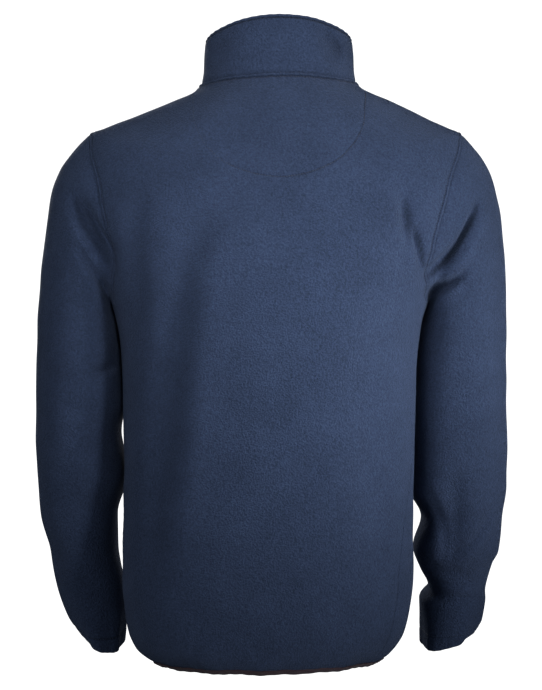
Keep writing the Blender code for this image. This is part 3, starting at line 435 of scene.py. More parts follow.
def ring_point(table, angle, down):
    """Return points of the body or collar. The angle runs from the left side over the back."""
    ring = read(table, RING_COLUMNS, down)
    across = signed_power(np.cos(angle), 2 / ring["power"])
    deep = signed_power(np.sin(angle), 2 / ring["power"])
    behind = np.sin(angle) >= 0
    depth = np.where(behind, ring["depth_back"], ring["depth_front"])
    drop = np.where(behind, ring["z_back"], ring["z_front"]) - ring["z_side"]
    height = ring["z_side"] + drop * np.abs(np.sin(angle)) ** ring["rise"] - ring["tilt"] * across
    return np.stack((ring["centre_x"] + ring["half_width"] * across, depth * deep, height), axis=-1)


def surface_normal(surface, first, second, steps):
    """Return unit normals from central differences of a surface."""
    first_step, second_step = steps
    along = surface(first + first_step, second) - surface(first - first_step, second)
    across = surface(first, second + second_step) - surface(first, second - second_step)
    return unit(np.cross(along, across))


def lengths_along(line):
    """Return how far along a line each of its points lies."""
    return np.concatenate(((0.0,), np.cumsum(np.linalg.norm(np.diff(line, axis=0), axis=1))))


def curve_through(route, steps_each):
    """Return a smooth line through a few points."""
    route = np.asarray(route, float)
    steps = lengths_along(route)
    where = np.linspace(0, steps[-1], steps_each * (len(route) - 1) + 1)
    return np.stack([smooth(steps, route[:, axis], where) for axis in range(route.shape[1])], axis=-1)


def nearest_on(points, line):
    """Return each point's distance to a line, how far along that is, and the line's length."""
    starts = lengths_along(line)
    nearest = np.full(points.shape[:-1], 1e9)
    place = np.zeros(points.shape[:-1])
    for index, length in enumerate(np.linalg.norm(np.diff(line, axis=0), axis=1)):
        direction = (line[index + 1] - line[index]) / length
        part = np.clip((points - line[index]) @ direction, 0, length)
        away = np.linalg.norm(points - line[index] - part[..., None] * direction, axis=-1)
        closer = away < nearest
        nearest = np.where(closer, away, nearest)
        place = np.where(closer, starts[index] + part, place)
    return nearest, place, starts[-1]


def dent(seen, line, width):
    """Return a groove of depth 1 along a line, round across it and fading towards its ends."""
    away, place, length = nearest_on(seen, line)
    middle = 4 * place / length * (1 - place / length)
    taper = middle * middle * (3 - 2 * middle)
    return taper * np.exp(-(away / width) ** 2)


def fold_depth(points, normal, folds):
    """Return how far each point is pressed in by the folds."""
    total = np.zeros(points.shape[:-1])
    for side, width, depth, route in folds:
        facing = normal[..., 1] if side == "back" else -normal[..., 1]
        weight = np.sqrt(np.clip(facing, 0, 1))
        total += depth * weight * dent(points[..., (0, 2)], curve_through(route, FOLD_STEPS), width)
    return total


def crease_depth(points, normal):
    """Return how far each point is pressed in by the sharper creases."""
    total = np.zeros(points.shape[:-1])
    seen = points[..., (0, 2)]
    for side, width, depth, ridge, beside, route in CREASES:
        facing = normal[..., 1] if side == "back" else -normal[..., 1]
        line = curve_through(route, FOLD_STEPS)
        low = line.min(axis=0) - CREASE_REACH
        high = line.max(axis=0) + CREASE_REACH
        near = np.all((seen > low) & (seen < high), axis=-1) & (facing > 0)
        if not near.any():
            continue
        for push, shift, wide in ((depth, 0.0, width), (-ridge, beside, 0.7 * abs(beside))):
            ahead = unit(np.gradient(line, axis=0))
            moved = line + np.stack((-ahead[:, 1], ahead[:, 0]), axis=-1) * shift
            total[near] += push * np.sqrt(facing[near]) * dent(seen[near], moved, wide)
    return total


def unevenness(points):
    """Return a soft, low waviness: three layers of waves, with lengths in millimetres."""
    x, y, z = (points[..., axis] for axis in range(3))
    return (np.sin(x / 13 + 1.3 * np.sin(z / 37)) * np.sin(z / 19 + y / 31)
            + 0.7 * np.sin(z / 11 + 0.8 * np.sin(x / 29 + 1)) * np.sin(x / 23 + y / 17 + 2)
            + 0.5 * np.sin(x / 7.1 + y / 9 + 0.6) * np.sin(z / 8.3 + 0.4 * np.sin(x / 17)))


def gathers(angle, share, shape, shift):
    """Return the waves of a gathered edge, with finer puckers between them."""
    drift = shape["drift"] * np.sin(shape["drift_waves"] * angle + shift)
    fine_drift = shape["fine_drift"] * np.sin(shape["fine_drift_waves"] * angle)
    return (shape["depth"] * share * np.cos(shape["waves"] * angle + drift)
            + FINE_GATHER * share ** 2 * np.cos(shape["fine"] * angle + fine_drift))


def pressed_in(points, normal):
    """Return how far the folds, the creases and the unevenness press the cloth in."""
    folds = fold_depth(points, normal, FOLDS) + crease_depth(points, normal)
    return folds + UNEVEN * unevenness(points)


def painted_fold_shade(points, normal):
    """Return how much painted shade the folds and creases lay on the cloth's colour."""
    return FOLD_SHADE * fold_depth(points, normal, FOLDS) + CREASE_SHADE * crease_depth(points, normal)


def torso_base(angle, down):
    return ring_point(TORSO, angle, down)


def torso_surface(angle, down):
    """Return points of the body's outside, with its folds and hem gathers."""
    points = torso_base(angle, down)
    normal = -surface_normal(torso_base, angle, down, BASE_STEPS)
    share = np.clip((down - HEM_WAVE_START) / (HEM_DOWN - HEM_WAVE_START), 0, 1)
    away_from_zip = np.clip((np.abs(points[..., 0] - ZIP_X) - ZIP_FLAT) / ZIP_BLEND, 0, 1)
    away_from_zip = np.where(points[..., 1] > 0, 1.0, away_from_zip)
    pressed = pressed_in(points, normal) + gathers(angle, share, HEM_GATHERS, 1)
    return points - normal * (pressed * away_from_zip)[..., None]


def torso_normal(angle, down):
    return -surface_normal(torso_surface, angle, down, FINE_STEPS)


def collar_surface(angle, up):
    """Return points of the collar's middle face, with its soft dents."""
    def base(first, second):
        return ring_point(COLLAR, first, second)

    points = base(angle, up)
    normal = surface_normal(base, angle, up, BASE_STEPS)
    free = np.clip(up / COLLAR_FREE, 0, 1)
    pressed = fold_depth(points, normal, COLLAR_FOLDS) + 0.5 * UNEVEN * unevenness(points)
    return points - normal * (free * pressed)[..., None]


def from_side(side, angle):
    """Turn an angle measured back from one side seam line into the body's own angle."""
    return angle if side > 0 else math.pi - angle


def armhole_turn(turn):
    """Return (angle back from the side line, down) round an armhole, from the shoulder point."""
    swing = np.where(np.sin(turn) >= 0, ARMHOLE_BACK, ARMHOLE_FRONT)
    angle = np.radians(swing) * signed_power(np.sin(turn), ARMHOLE_POWER)
    return angle, SCYE_MIDDLE - SCYE_HALF * np.cos(turn)


def centre_front_angle(table, downs, away):
    """Return the angle, back from a side line, of a line at a distance from the centre front."""
    ring = read(table, RING_COLUMNS, downs)
    return -np.arccos((away / ring["half_width"]) ** (ring["power"] / 2))


def sleeve_base(side, turn, along):
    """Return points of a sleeve before its folds. The turn runs from its outer line over the back."""
    def loop(distance):
        ring = read(SLEEVES[side], SLEEVE_COLUMNS, distance)
        out = signed_power(np.cos(turn), 2 / ring["power"])
        deep = signed_power(np.sin(turn), 2 / ring["power"])
        x, z = ((ring[f"{axis}_out"] + ring[f"{axis}_in"]) / 2
                + (ring[f"{axis}_out"] - ring[f"{axis}_in"]) / 2 * out for axis in "xz")
        y = ring["centre_y"] + ring["half_depth"] * deep
        return np.stack((side * x, y, z - ring["drop"] * deep), axis=-1)

    angle, down = armhole_turn(turn)
    hole = ring_point(TORSO, from_side(side, angle), down)
    share = np.clip(1 - along / SCYE_BLEND, 0, 1) ** 2
    return loop(along) + (hole - loop(0 * along)) * share[..., None]


def blend_at_armhole(own, body, along):
    """Return a sleeve's normals, which become the body's own at the armhole seam."""
    share = np.clip(1 - along / SEAM_NORMAL_BLEND, 0, 1)[..., None]
    return unit(own * (1 - share) + body * share)


def sleeve_surface(side, turn, along):
    """Return points of a sleeve's outside, with its folds and cuff gathers."""
    def base(first, second):
        return sleeve_base(side, first, second)

    points = base(turn, along)
    own = -side * surface_normal(base, turn, along, SLEEVE_BASE_STEPS)
    angle, down = armhole_turn(turn)
    body = -surface_normal(torso_base, from_side(side, angle), down, BASE_STEPS)
    normal = blend_at_armhole(own, body, along)
    share = np.clip((along - SLEEVES[side]["mouth"][0]) / CUFF_WAVE_START + 1, 0, 1)
    underarm = ((np.cos(turn) + 1) / ARMPIT_SHARE) ** 2
    bulge = ARMPIT_BULGE * np.exp(-((along - ARMPIT_ALONG) / ARMPIT_LENGTH) ** 2 - underarm)
    pressed = pressed_in(points, normal) + gathers(turn, share, CUFF_GATHERS, side)
    return points - normal * (pressed - bulge)[..., None]


def sleeve_normal(side, turn, along):
    def surface(first, second):
        return sleeve_surface(side, first, second)

    return -side * surface_normal(surface, turn, along, SLEEVE_FINE_STEPS)


# ---------------------------------------------------------------- grids

def panel_downs():
    """Return the "down" of every row of the panels, closer at the neck, armhole ends and hem."""
    armhole = armhole_turn(np.linspace(0, math.pi, ARMHOLE_STEPS + 1))[1]
    shoulder = np.arange(NEAR_SEAM[-1] + ROW_STEP, SHOULDER_DOWN - 1, ROW_STEP)
    side = np.arange(ARMPIT_DOWN + 2, HEM_WAVE_START, ROW_STEP)
    gathers = np.linspace(HEM_WAVE_START + 1, HEM_DOWN, 24)
    return np.unique(np.concatenate((NEAR_SEAM, shoulder, armhole, side, gathers)))


def edge_angles(downs, side, facing):
    """Return a panel's edge at one side, row by row: shoulder, armhole and side seam."""
    seam = np.radians(read(TORSO, RING_COLUMNS, downs)["seam_left" if side > 0 else "seam_right"])
    turn = np.arccos(np.clip((SCYE_MIDDLE - downs) / SCYE_HALF, -1, 1))
    hole = armhole_turn(turn * facing)[0]
    return np.where(downs > ARMPIT_DOWN, seam, np.where(downs < SHOULDER_DOWN, 0.0, hole))


def spread_columns(table, downs, first, last, count):
    """Return each row's angles between two edges: close columns by the edges, then even ones."""
    part = np.linspace(0, 1, 97)
    near = np.array(NEAR_SEAM)
    rows = []
    for down, low, high in zip(downs, first, last):
        angles = low + (high - low) * part
        points = ring_point(table, angles, np.full(len(part), down))
        lengths = lengths_along(points)
        inside = np.linspace(near[-1], lengths[-1] - near[-1], count)[1:-1]
        places = np.concatenate((near, inside, lengths[-1] - near[::-1]))
        rows.append(np.interp(places, lengths, angles))
    return np.stack(rows)


def armhole_line(side):
    """Return the armhole's closed seam line and the body's normals on it."""
    turn = np.linspace(0, 2 * math.pi, 4 * ARMHOLE_STEPS + 1)
    angle, down = armhole_turn(turn)
    angle = from_side(side, angle)
    return torso_surface(angle, down), torso_normal(angle, down)


def pucker(away, place, width):
    """Return the ripples that a row of stitching draws up beside it."""
    return PUCKER * np.exp(-(away / width) ** 2) * np.sin(2 * math.pi * place / PUCKER_PITCH)


def seam_profile(points, seams, topstitched):
    """Return how far the cloth stands out near its seams: a roll down into each, and allowances."""
    total = np.zeros(points.shape[:-1])
    for line in seams:
        away, place, _ = nearest_on(points, line)
        total -= SEAM_ROLL * np.exp(-(away / SEAM_ROLL_WIDTH) ** 2)
        total -= SEAM_PUCKER * pucker(away, place, SEAM_PUCKER_WIDTH)
    for line, height in topstitched:
        away, place, _ = nearest_on(points, line)
        rise = np.clip((away - ALLOWANCE_START) / ALLOWANCE_RISE, 0, 1)
        fall = np.clip((STITCH_AWAY + ALLOWANCE_FALL - away) / ALLOWANCE_FALL, 0, 1)
        total += height * rise * fall
        total -= GROOVE * np.exp(-((away - STITCH_AWAY) / GROOVE_WIDTH) ** 2)
        total -= pucker(away - STITCH_AWAY, place, TOPSTITCH_PUCKER_WIDTH)
    return total


def line_profile(points, lines):
    """Return how far stitched lines pull the cloth in, with the puckers beside them."""
    total = np.zeros(points.shape[:-1])
    for line in lines:
        away, place, _ = nearest_on(points, line)
        total -= GROOVE * np.exp(-(away / GROOVE_WIDTH) ** 2) + pucker(away, place, LINE_PUCKER_WIDTH)
    return total


def distance_to(points, lines):
    """Return each point's distance to the nearest of some lines."""
    found = [nearest_on(points, line)[0] for line in lines]
    return np.min(found, axis=0) if found else np.full(points.shape[:-1], 50.0)


# ---------------------------------------------------------------- meshes

class Wall:
    """Points and faces of one cloth wall, made from an outer and an inner grid."""

    def __init__(self, outer, inner, closed=False):
        self.rows, self.columns = outer.shape[:2]
        self.closed = closed
        self.grids = (outer, inner)
        self.points = [tuple(point) for grid in self.grids for point in grid.reshape(-1, 3)]
        self.faces = []
        spans = self.columns if closed else self.columns - 1
        for layer in (0, 1):
            for row in range(self.rows - 1):
                for column in range(spans):
                    quad = [self.at(layer, row, column), self.at(layer, row, column + 1),
                            self.at(layer, row + 1, column + 1), self.at(layer, row + 1, column)]
                    self.faces.append(quad if layer else quad[::-1])

    def at(self, layer, row, column):
        return (layer * self.rows + row) * self.columns + column % self.columns

    def row_rim(self, row, steps=1):
        """Close the wall along its first or last row, rounded if it has steps."""
        neighbour = 1 if row == 0 else row - 1
        count = self.columns + 1 if self.closed else self.columns
        places = [(row, column) for column in range(count)]
        onward = unit(self.grids[0][row] - self.grids[0][neighbour])
        self.rim(places, [onward[column % self.columns] for column in range(count)], steps)

    def column_rim(self, column, steps=1):
        """Close the wall along its first or last column, rounded if it has steps."""
        neighbour = 1 if column == 0 else column - 1
        places = [(row, column) for row in range(self.rows)]
        onward = unit(self.grids[0][:, column] - self.grids[0][:, neighbour])
        self.rim(places, list(onward), steps)

    def rim(self, places, onward, steps):
        lines = [[self.at(0, *place) for place in places]]
        for step in range(1, steps):
            turn = math.pi * step / steps
            line = []
            for place, ahead in zip(places, onward):
                if self.closed and place[1] == self.columns:
                    line.append(line[0])
                    continue
                out = np.array(self.points[self.at(0, *place)])
                into = np.array(self.points[self.at(1, *place)])
                half = (out - into) / 2
                bulge = ahead * np.linalg.norm(half) * math.sin(turn)
                line.append(len(self.points))
                self.points.append(tuple((out + into) / 2 + half * math.cos(turn) + bulge))
            lines.append(line)
        lines.append([self.at(1, *place) for place in places])
        for low, high in zip(lines, lines[1:]):
            for index in range(len(places) - 1):
                self.faces.append([low[index], low[index + 1], high[index + 1], high[index]])
        if steps > 1 and not self.closed:
            self.faces.append([line[0] for line in lines])
            self.faces.append([line[-1] for line in lines])

    def make(self, name, material, node=None, attributes=None):
        thing = make_object(name, self.points, self.faces, material)
        for label, grid in (attributes or {}).items():
            values = np.full(len(self.points), 0.0 if label == "pressed" else 50.0)
            flat = grid.reshape(-1)
            values[:len(flat)] = flat
            store = thing.data.attributes.new(label, "FLOAT", "POINT")
            store.data.foreach_set("value", values)
        if node:
            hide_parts(node)
        return thing


def make_object(name, points, faces, material, body=BODY, smooth_angle=40):
    """Make a mesh object from millimetres, with its faces out, that rides on a body."""
    mesh = bpy.data.meshes.new(name)
    mesh.from_pydata([(x * MM, y * MM, z * MM) for x, y, z in points], [], faces)
    work = bmesh.new()
    work.from_mesh(mesh)
    bmesh.ops.recalc_face_normals(work, faces=work.faces)
    work.to_mesh(mesh)
    work.free()
    mesh.materials.append(material)
    mesh.shade_smooth()
    mesh.set_sharp_from_angle(angle=math.radians(smooth_angle))
    thing = bpy.data.objects.new(name, mesh)
    bpy.context.scene.collection.objects.link(thing)
    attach(thing, body)
    return thing


def tube_faces(start, rings, corners):
    """Return the faces of a tube whose points run ring by ring, with both ends closed."""
    last = start + (rings - 1) * corners
    faces = []
    for low in range(start, last, corners):
        for corner in range(corners):
            after = (corner + 1) % corners
            faces.append([low + corner, low + after, low + corners + after, low + corners + corner])
    return faces + [[end + corner for corner in range(corners)] for end in (start, last)]


def tree_of(thing):
    """Return a search tree of a mesh object's faces, in millimetres."""
    points = [vertex.co / MM for vertex in thing.data.vertices]
    return BVHTree.FromPolygons(points, [tuple(face.vertices) for face in thing.data.polygons])


def lay_on(tree, line, normals):
    """Return a line's points moved on to a surface, and the surface's normals there."""
    places = []
    facing = []
    for point, normal in zip(line, normals):
        found, own, _, _ = tree.ray_cast(Vector(point + normal * LAY_FROM), Vector(-normal), LAY_REACH)
        places.append(np.array(found) if found else point)
        facing.append(np.array(own) if found and own.dot(Vector(normal)) > 0.3 else normal)
    return np.array(places), unit(np.array(facing))


def even_steps(line, pitch):
    """Return a line's points at even distances, and the values that go with them."""
    lengths = lengths_along(line[:, :3])
    where = np.arange(pitch / 2, lengths[-1], pitch)
    return np.stack([np.interp(where, lengths, line[:, axis]) for axis in range(line.shape[1])], axis=-1)


def make_stitches(name, line, normals, material, slot="fleece", sink=0.12, heavy=1.0):
    """Lay a row of short threads along a line on the cloth."""
    joined = even_steps(np.concatenate((line, normals), axis=1), STITCH_PITCH)
    middles = joined[:, :3]
    facing = unit(joined[:, 3:])
    ahead = unit(np.gradient(middles, axis=0))
    across = unit(np.cross(facing, ahead))
    thick = THREAD * heavy
    points = []
    faces = []
    for middle, up, along, side in zip(middles, facing, ahead, across):
        faces += tube_faces(len(points), len(STITCH_RINGS), STITCH_CORNERS)
        for shift, size, lift in STITCH_RINGS:
            centre = middle + along * shift * STITCH_LENGTH + up * (lift * thick - sink)
            for corner in range(STITCH_CORNERS):
                turn = 2 * math.pi * corner / STITCH_CORNERS
                points.append(centre + (side * math.cos(turn) + up * math.sin(turn)) * thick * size)
    return make_object(name, points, faces, material, smooth_angle=70)


# ---------------------------------------------------------------- materials

def new_material(name):
    material = bpy.data.materials.new(name)
    material.use_nodes = True
    tree = material.node_tree
    return material, tree, tree.nodes["Principled BSDF"]


def noise(tree, scale, detail, roughness):
    node = tree.nodes.new("ShaderNodeTexNoise")
    for label, number in (("Scale", scale), ("Detail", detail), ("Roughness", roughness)):
        node.inputs[label].default_value = number
    tree.links.new(object_place(tree), node.inputs["Vector"])
    return node.outputs["Fac"]


def object_place(tree):
    for node in tree.nodes:
        if node.type == "TEX_COORD":
            return node.outputs["Object"]
    return tree.nodes.new("ShaderNodeTexCoord").outputs["Object"]


def math_node(tree, operation, first, second):
    node = tree.nodes.new("ShaderNodeMath")
    node.operation = operation
    for socket, value in zip(node.inputs, (first, second)):
        if isinstance(value, (int, float)):
            socket.default_value = value
        else:
            tree.links.new(value, socket)
    return node.outputs[0]


def remap(tree, value, low, high, to_low, to_high):
    node = tree.nodes.new("ShaderNodeMapRange")
    tree.links.new(value, node.inputs["Value"])
    for label, number in zip(("From Min", "From Max", "To Min", "To Max"), (low, high, to_low, to_high)):
        node.inputs[label].default_value = number
    return node.outputs["Result"]


def tinted(tree, colour, factor):
    """Return a colour made lighter or darker by a factor."""
    node = tree.nodes.new("ShaderNodeVectorMath")
    node.operation = "SCALE"
    node.inputs[0].default_value = colour
    tree.links.new(factor, node.inputs["Scale"])
    return node.outputs["Vector"]


def bump(tree, height, distance, strength=1.0, under=None):
    node = tree.nodes.new("ShaderNodeBump")
    node.inputs["Strength"].default_value = strength
    node.inputs["Distance"].default_value = distance
    tree.links.new(height, node.inputs["Height"])
    if under:
        tree.links.new(under, node.inputs["Normal"])
    return node.outputs["Normal"]


def mottled(tree, value, low, high):
    """Return a noise, most of which lies between 0.3 and 0.7, stretched between two numbers."""
    return remap(tree, value, 0.3, 0.7, low, high)


def attribute(tree, label):
    node = tree.nodes.new("ShaderNodeAttribute")
    node.attribute_name = label
    return node.outputs["Fac"]


def wave(tree, scale, distortion, direction, detail=2.0):
    node = tree.nodes.new("ShaderNodeTexWave")
    node.bands_direction = direction
    for label, number in (("Scale", scale), ("Distortion", distortion), ("Detail", detail)):
        node.inputs[label].default_value = number
    tree.links.new(object_place(tree), node.inputs["Vector"])
    return node.outputs["Fac"]


def dress(tree, shader, colour, tone, normal=None, **settings):
    """Give a shader its toned colour, its bumped normal and its other sockets' values."""
    tree.links.new(tinted(tree, colour, tone), shader.inputs["Base Color"])
    if normal:
        tree.links.new(normal, shader.inputs["Normal"])
    for label, value in settings.items():
        shader.inputs[label.replace("_", " ")].default_value = value


def fleece_material(name):
    """Matt micro-fleece: a pebbled nap, fine fibres, worn patches and grooves at the stitching, with
    painted shade in those grooves, by the seams and in the folds and creases, and a painted highlight on
    the ridges.
    """
    material, tree, shader = new_material(name)
    pebble = noise(tree, 480, 2, 0.5)
    pile = noise(tree, 900, 2, 0.6)
    fibre = noise(tree, 2600, 2, 0.6)
    stitch = attribute(tree, "stitch")
    pressed = attribute(tree, "pressed")
    tone = math_node(tree, "ADD", mottled(tree, pebble, 0.76, 1.24), mottled(tree, pile, -0.12, 0.12))
    tone = math_node(tree, "ADD", tone, mottled(tree, fibre, -0.08, 0.08))
    for shade in (mottled(tree, noise(tree, 22, 3, 0.6), 0.92, 1.08),
                  mottled(tree, noise(tree, 5, 2, 0.5), 0.95, 1.05),
                  # painted shade in the grooves along the stitching
                  remap(tree, stitch, 0.2, 1.5, 0.42, 1.0),
                  # painted shade by the seams
                  remap(tree, attribute(tree, "seam"), 0.2, 1.8, 0.76, 1.0),
                  # painted shade in the folds and creases, and a painted highlight on the ridges beside
                  # them
                  remap(tree, pressed, 3.0, 12.0, 1.0, 0.34),
                  remap(tree, pressed, -4.0, 0.0, 1.10, 1.0)):
        tone = math_node(tree, "MULTIPLY", tone, shade)
    height = math_node(tree, "ADD", pebble, math_node(tree, "MULTIPLY", pile, 0.5))
    height = math_node(tree, "ADD", height, math_node(tree, "MULTIPLY", fibre, 0.16))
    nap = bump(tree, height, 0.0026, 0.9)
    groove = bump(tree, remap(tree, stitch, 0.0, 1.4, 0.0, 1.0), 0.0005, 1.0, nap)
    dress(tree, shader, NAVY, tone, groove, Roughness=0.95, Specular_IOR_Level=0.08,
          Sheen_Weight=0.10, Sheen_Roughness=0.5, Sheen_Tint=(0.60, 0.72, 1.0, 1))
    return material


def thread_material(name, colour):
    """Twisted polyester thread."""
    material, tree, shader = new_material(name)
    twist = wave(tree, 900, 1.5, "DIAGONAL")
    tone = remap(tree, twist, 0, 1, 0.75, 1.2)
    dress(tree, shader, colour, tone, bump(tree, twist, 0.0001), Roughness=0.55, Sheen_Weight=0.1)
    return material


def woven_material(name, colour, roughness):
    """Ribbed woven tape: close level ribs, with a slight mottle."""
    material, tree, shader = new_material(name)
    ribs = wave(tree, 330, 0.6, "Z", 1.0)
    tone = math_node(tree, "MULTIPLY", remap(tree, ribs, 0, 1, 0.72, 1.18),
                     mottled(tree, noise(tree, 60, 2, 0.5), 0.88, 1.12))
    weave = math_node(tree, "MULTIPLY", noise(tree, 1900, 1, 0.4), 0.4)
    normal = bump(tree, math_node(tree, "ADD", ribs, weave), 0.0003)
    dress(tree, shader, colour, tone, normal, Roughness=roughness, Sheen_Weight=0.12)
    return material


def plastic_material(name, colour):
    """Moulded zip plastic, slightly scuffed."""
    material, tree, shader = new_material(name)
    scuff = noise(tree, 420, 3, 0.6)
    dress(tree, shader, colour, mottled(tree, scuff, 0.85, 1.25), bump(tree, scuff, 0.00004))
    tree.links.new(mottled(tree, scuff, 0.34, 0.52), shader.inputs["Roughness"])
    return material


def metal_material(name):
    """Dark satin zip metal, a little worn where fingers touch it."""
    material, tree, shader = new_material(name)
    wear = noise(tree, 260, 4, 0.6)
    tone = remap(tree, wear, 0.35, 0.65, 0.75, 1.35)
    dress(tree, shader, METAL, tone, bump(tree, noise(tree, 3200, 2, 0.5), 0.00003), Metallic=1.0)
    tree.links.new(remap(tree, wear, 0.35, 0.65, 0.50, 0.36), shader.inputs["Roughness"])
    return material


def studio_material(name, colour, glow):
    """Plain pale paper that also gives off a little light of its own."""
    material, tree, shader = new_material(name)
    grain = mottled(tree, noise(tree, 30, 2, 0.5), 0.995, 1.005)
    dress(tree, shader, colour, grain, Roughness=0.9, Emission_Color=(*colour, 1), Emission_Strength=glow)
    return material


# ---------------------------------------------------------------- pieces of cloth

def finish_panel(name, outer, normal, seams, topstitched, lines, material, node, rims):
    """Shape a panel near its seams and stitching, give it its wall and make it."""
    lift = seam_profile(outer, seams, topstitched) + line_profile(outer, lines)
    inner = outer - normal * FLEECE
    outer = outer + normal * lift[..., None]
    beside = np.abs(distance_to(outer, [line for line, _ in topstitched]) - STITCH_AWAY)
    wall = Wall(outer, inner)
    for kind, index, steps in rims:
        count = wall.rows if kind == "row" else wall.columns
        (wall.row_rim if kind == "row" else wall.column_rim)(index % count, steps)
    # what the material paints shade by: the stitching's grooves, the seams, and the folds and creases
    shading = {"stitch": np.minimum(beside, distance_to(outer, lines)),
               "seam": distance_to(outer, seams),
               "pressed": painted_fold_shade(outer, normal)}
    return wall.make(name, material, node, shading)


def half_moon_points():
    left = np.array(HALF_MOON, float)
    right = (left * (-1, 1))[::-1][1:]
    return curve_through(np.concatenate((left, right)), 8)


def on_back(line):
    """Return the angle and "down" of (x, z) points on the back."""
    x, z = line.T
    angle = np.arccos(np.clip(x / 150, -0.95, 0.95))
    down = 8 - z
    for _ in range(12):
        here = ring_point(TORSO, angle, down)
        turned = (ring_point(TORSO, angle + 0.01, down) - here) / 0.01
        lower = ring_point(TORSO, angle, down + 1) - here
        area = turned[:, 0] * lower[:, 2] - lower[:, 0] * turned[:, 2]
        left = x - here[:, 0]
        above = z - here[:, 2]
        angle = angle + np.clip((left * lower[:, 2] - lower[:, 0] * above) / area, -0.2, 0.2)
        down = np.clip(down + (turned[:, 0] * above - left * turned[:, 2]) / area, 1, 200)
    return angle, down


def make_back(downs, material):
    first = edge_angles(downs, 1, 1)
    last = math.pi - edge_angles(downs, -1, 1)
    angle = spread_columns(TORSO, downs, first, last, COLUMNS_BACK)
    down = np.repeat(downs[:, None], angle.shape[1], axis=1)
    outer = torso_surface(angle, down)
    normal = torso_normal(angle, down)
    seams = [outer[0], outer[:, 0], outer[:, -1]]
    holes = [outer[(downs >= SHOULDER_DOWN) & (downs <= ARMPIT_DOWN)][:, edge] for edge in (0, -1)]
    moon_angle, moon_down = on_back(half_moon_points())
    moon = torso_surface(moon_angle, moon_down)
    topstitched = [(outer[0], NECK_ALLOWANCE), *((hole, ARMHOLE_ALLOWANCE) for hole in holes)]
    piece = finish_panel("back", outer, normal, seams, topstitched, [moon], material, "back_panel",
                         (("row", 0, 1), ("row", -1, 1), ("column", 0, 1), ("column", -1, 1)))
    return piece, moon, torso_normal(moon_angle, moon_down)


def make_front(side, downs, material):
    centre = centre_front_angle(TORSO, downs, FRONT_EDGE + FLEECE / 2)
    edge = edge_angles(downs, side, -1)
    angle = from_side(side, spread_columns(TORSO, downs, centre, edge, COLUMNS_FRONT))
    down = np.repeat(downs[:, None], angle.shape[1], axis=1)
    outer = torso_surface(angle, down)
    normal = torso_normal(angle, down)
    seams = [outer[0], outer[:, -1]]
    hole = outer[(downs >= SHOULDER_DOWN) & (downs <= ARMPIT_DOWN)][:, -1]
    name = f"front_{SIDE_NAMES[side]}"
    lip = outer[:, 0] + unit(outer[:, 1] - outer[:, 0]) * STITCH_AWAY
    topstitched = [(outer[0], NECK_ALLOWANCE), (hole, ARMHOLE_ALLOWANCE)]
    return finish_panel(f"cloth_{name}", outer, normal, seams, topstitched, [lip], material, name,
                        (("row", 0, 1), ("row", -1, 1), ("column", 0, LIP_STEPS), ("column", -1, 1)))


def make_sleeve(side, material):
    """Make a sleeve, with its cloth doubled inside the cuff's turned edge."""
    mouth = SLEEVES[side]["mouth"][0]
    alongs = np.concatenate((NEAR_SEAM, np.arange(NEAR_SEAM[-1] + ROW_STEP, mouth - CUFF_TURN, ROW_STEP),
                             np.linspace(mouth - CUFF_TURN + 1, mouth - FLEECE, 10)))
    turns = np.linspace(0, 2 * math.pi, 2 * ARMHOLE_STEPS + 1)[:-1]
    turn = np.repeat(turns[None, :], len(alongs), axis=0)
    along = np.repeat(alongs[:, None], len(turns), axis=1)
    outer = sleeve_surface(side, turn, along)
    angle, down = armhole_turn(turns)
    seam_normal = torso_normal(from_side(side, angle), down)
    normal = blend_at_armhole(sleeve_normal(side, turn, along), seam_normal[None], along)
    seam = np.concatenate((outer[0], outer[0][:1]))
    from_mouth = mouth - along
    hem_line = np.abs(from_mouth - CUFF_TURN)
    lift = seam_profile(outer, [seam], [])
    lift -= CUFF_GROOVE * GROOVE * np.exp(-(hem_line / CUFF_GROOVE_WIDTH) ** 2)
    # painted shade in the sleeve's folds and creases, kept for its material
    pressed = painted_fold_shade(outer, normal)
    doubled = FLEECE * (1 + CUFF_DOUBLING * np.clip((CUFF_TURN - from_mouth) / 2 + 1, 0, 1))
    inner = outer - normal * doubled[..., None]
    outer = outer + normal * lift[..., None]
    wall = Wall(outer, inner, closed=True)
    wall.row_rim(0)
    wall.row_rim(wall.rows - 1, LIP_STEPS)
    name = f"sleeve_{SIDE_NAMES[side]}"
    # what the material paints shade by: the cuff's stitch line, the armhole seam, and the folds and creases
    shading = {"stitch": hem_line, "seam": distance_to(outer, [seam]), "pressed": pressed}
    return wall.make(f"cloth_{name}", material, name, shading)


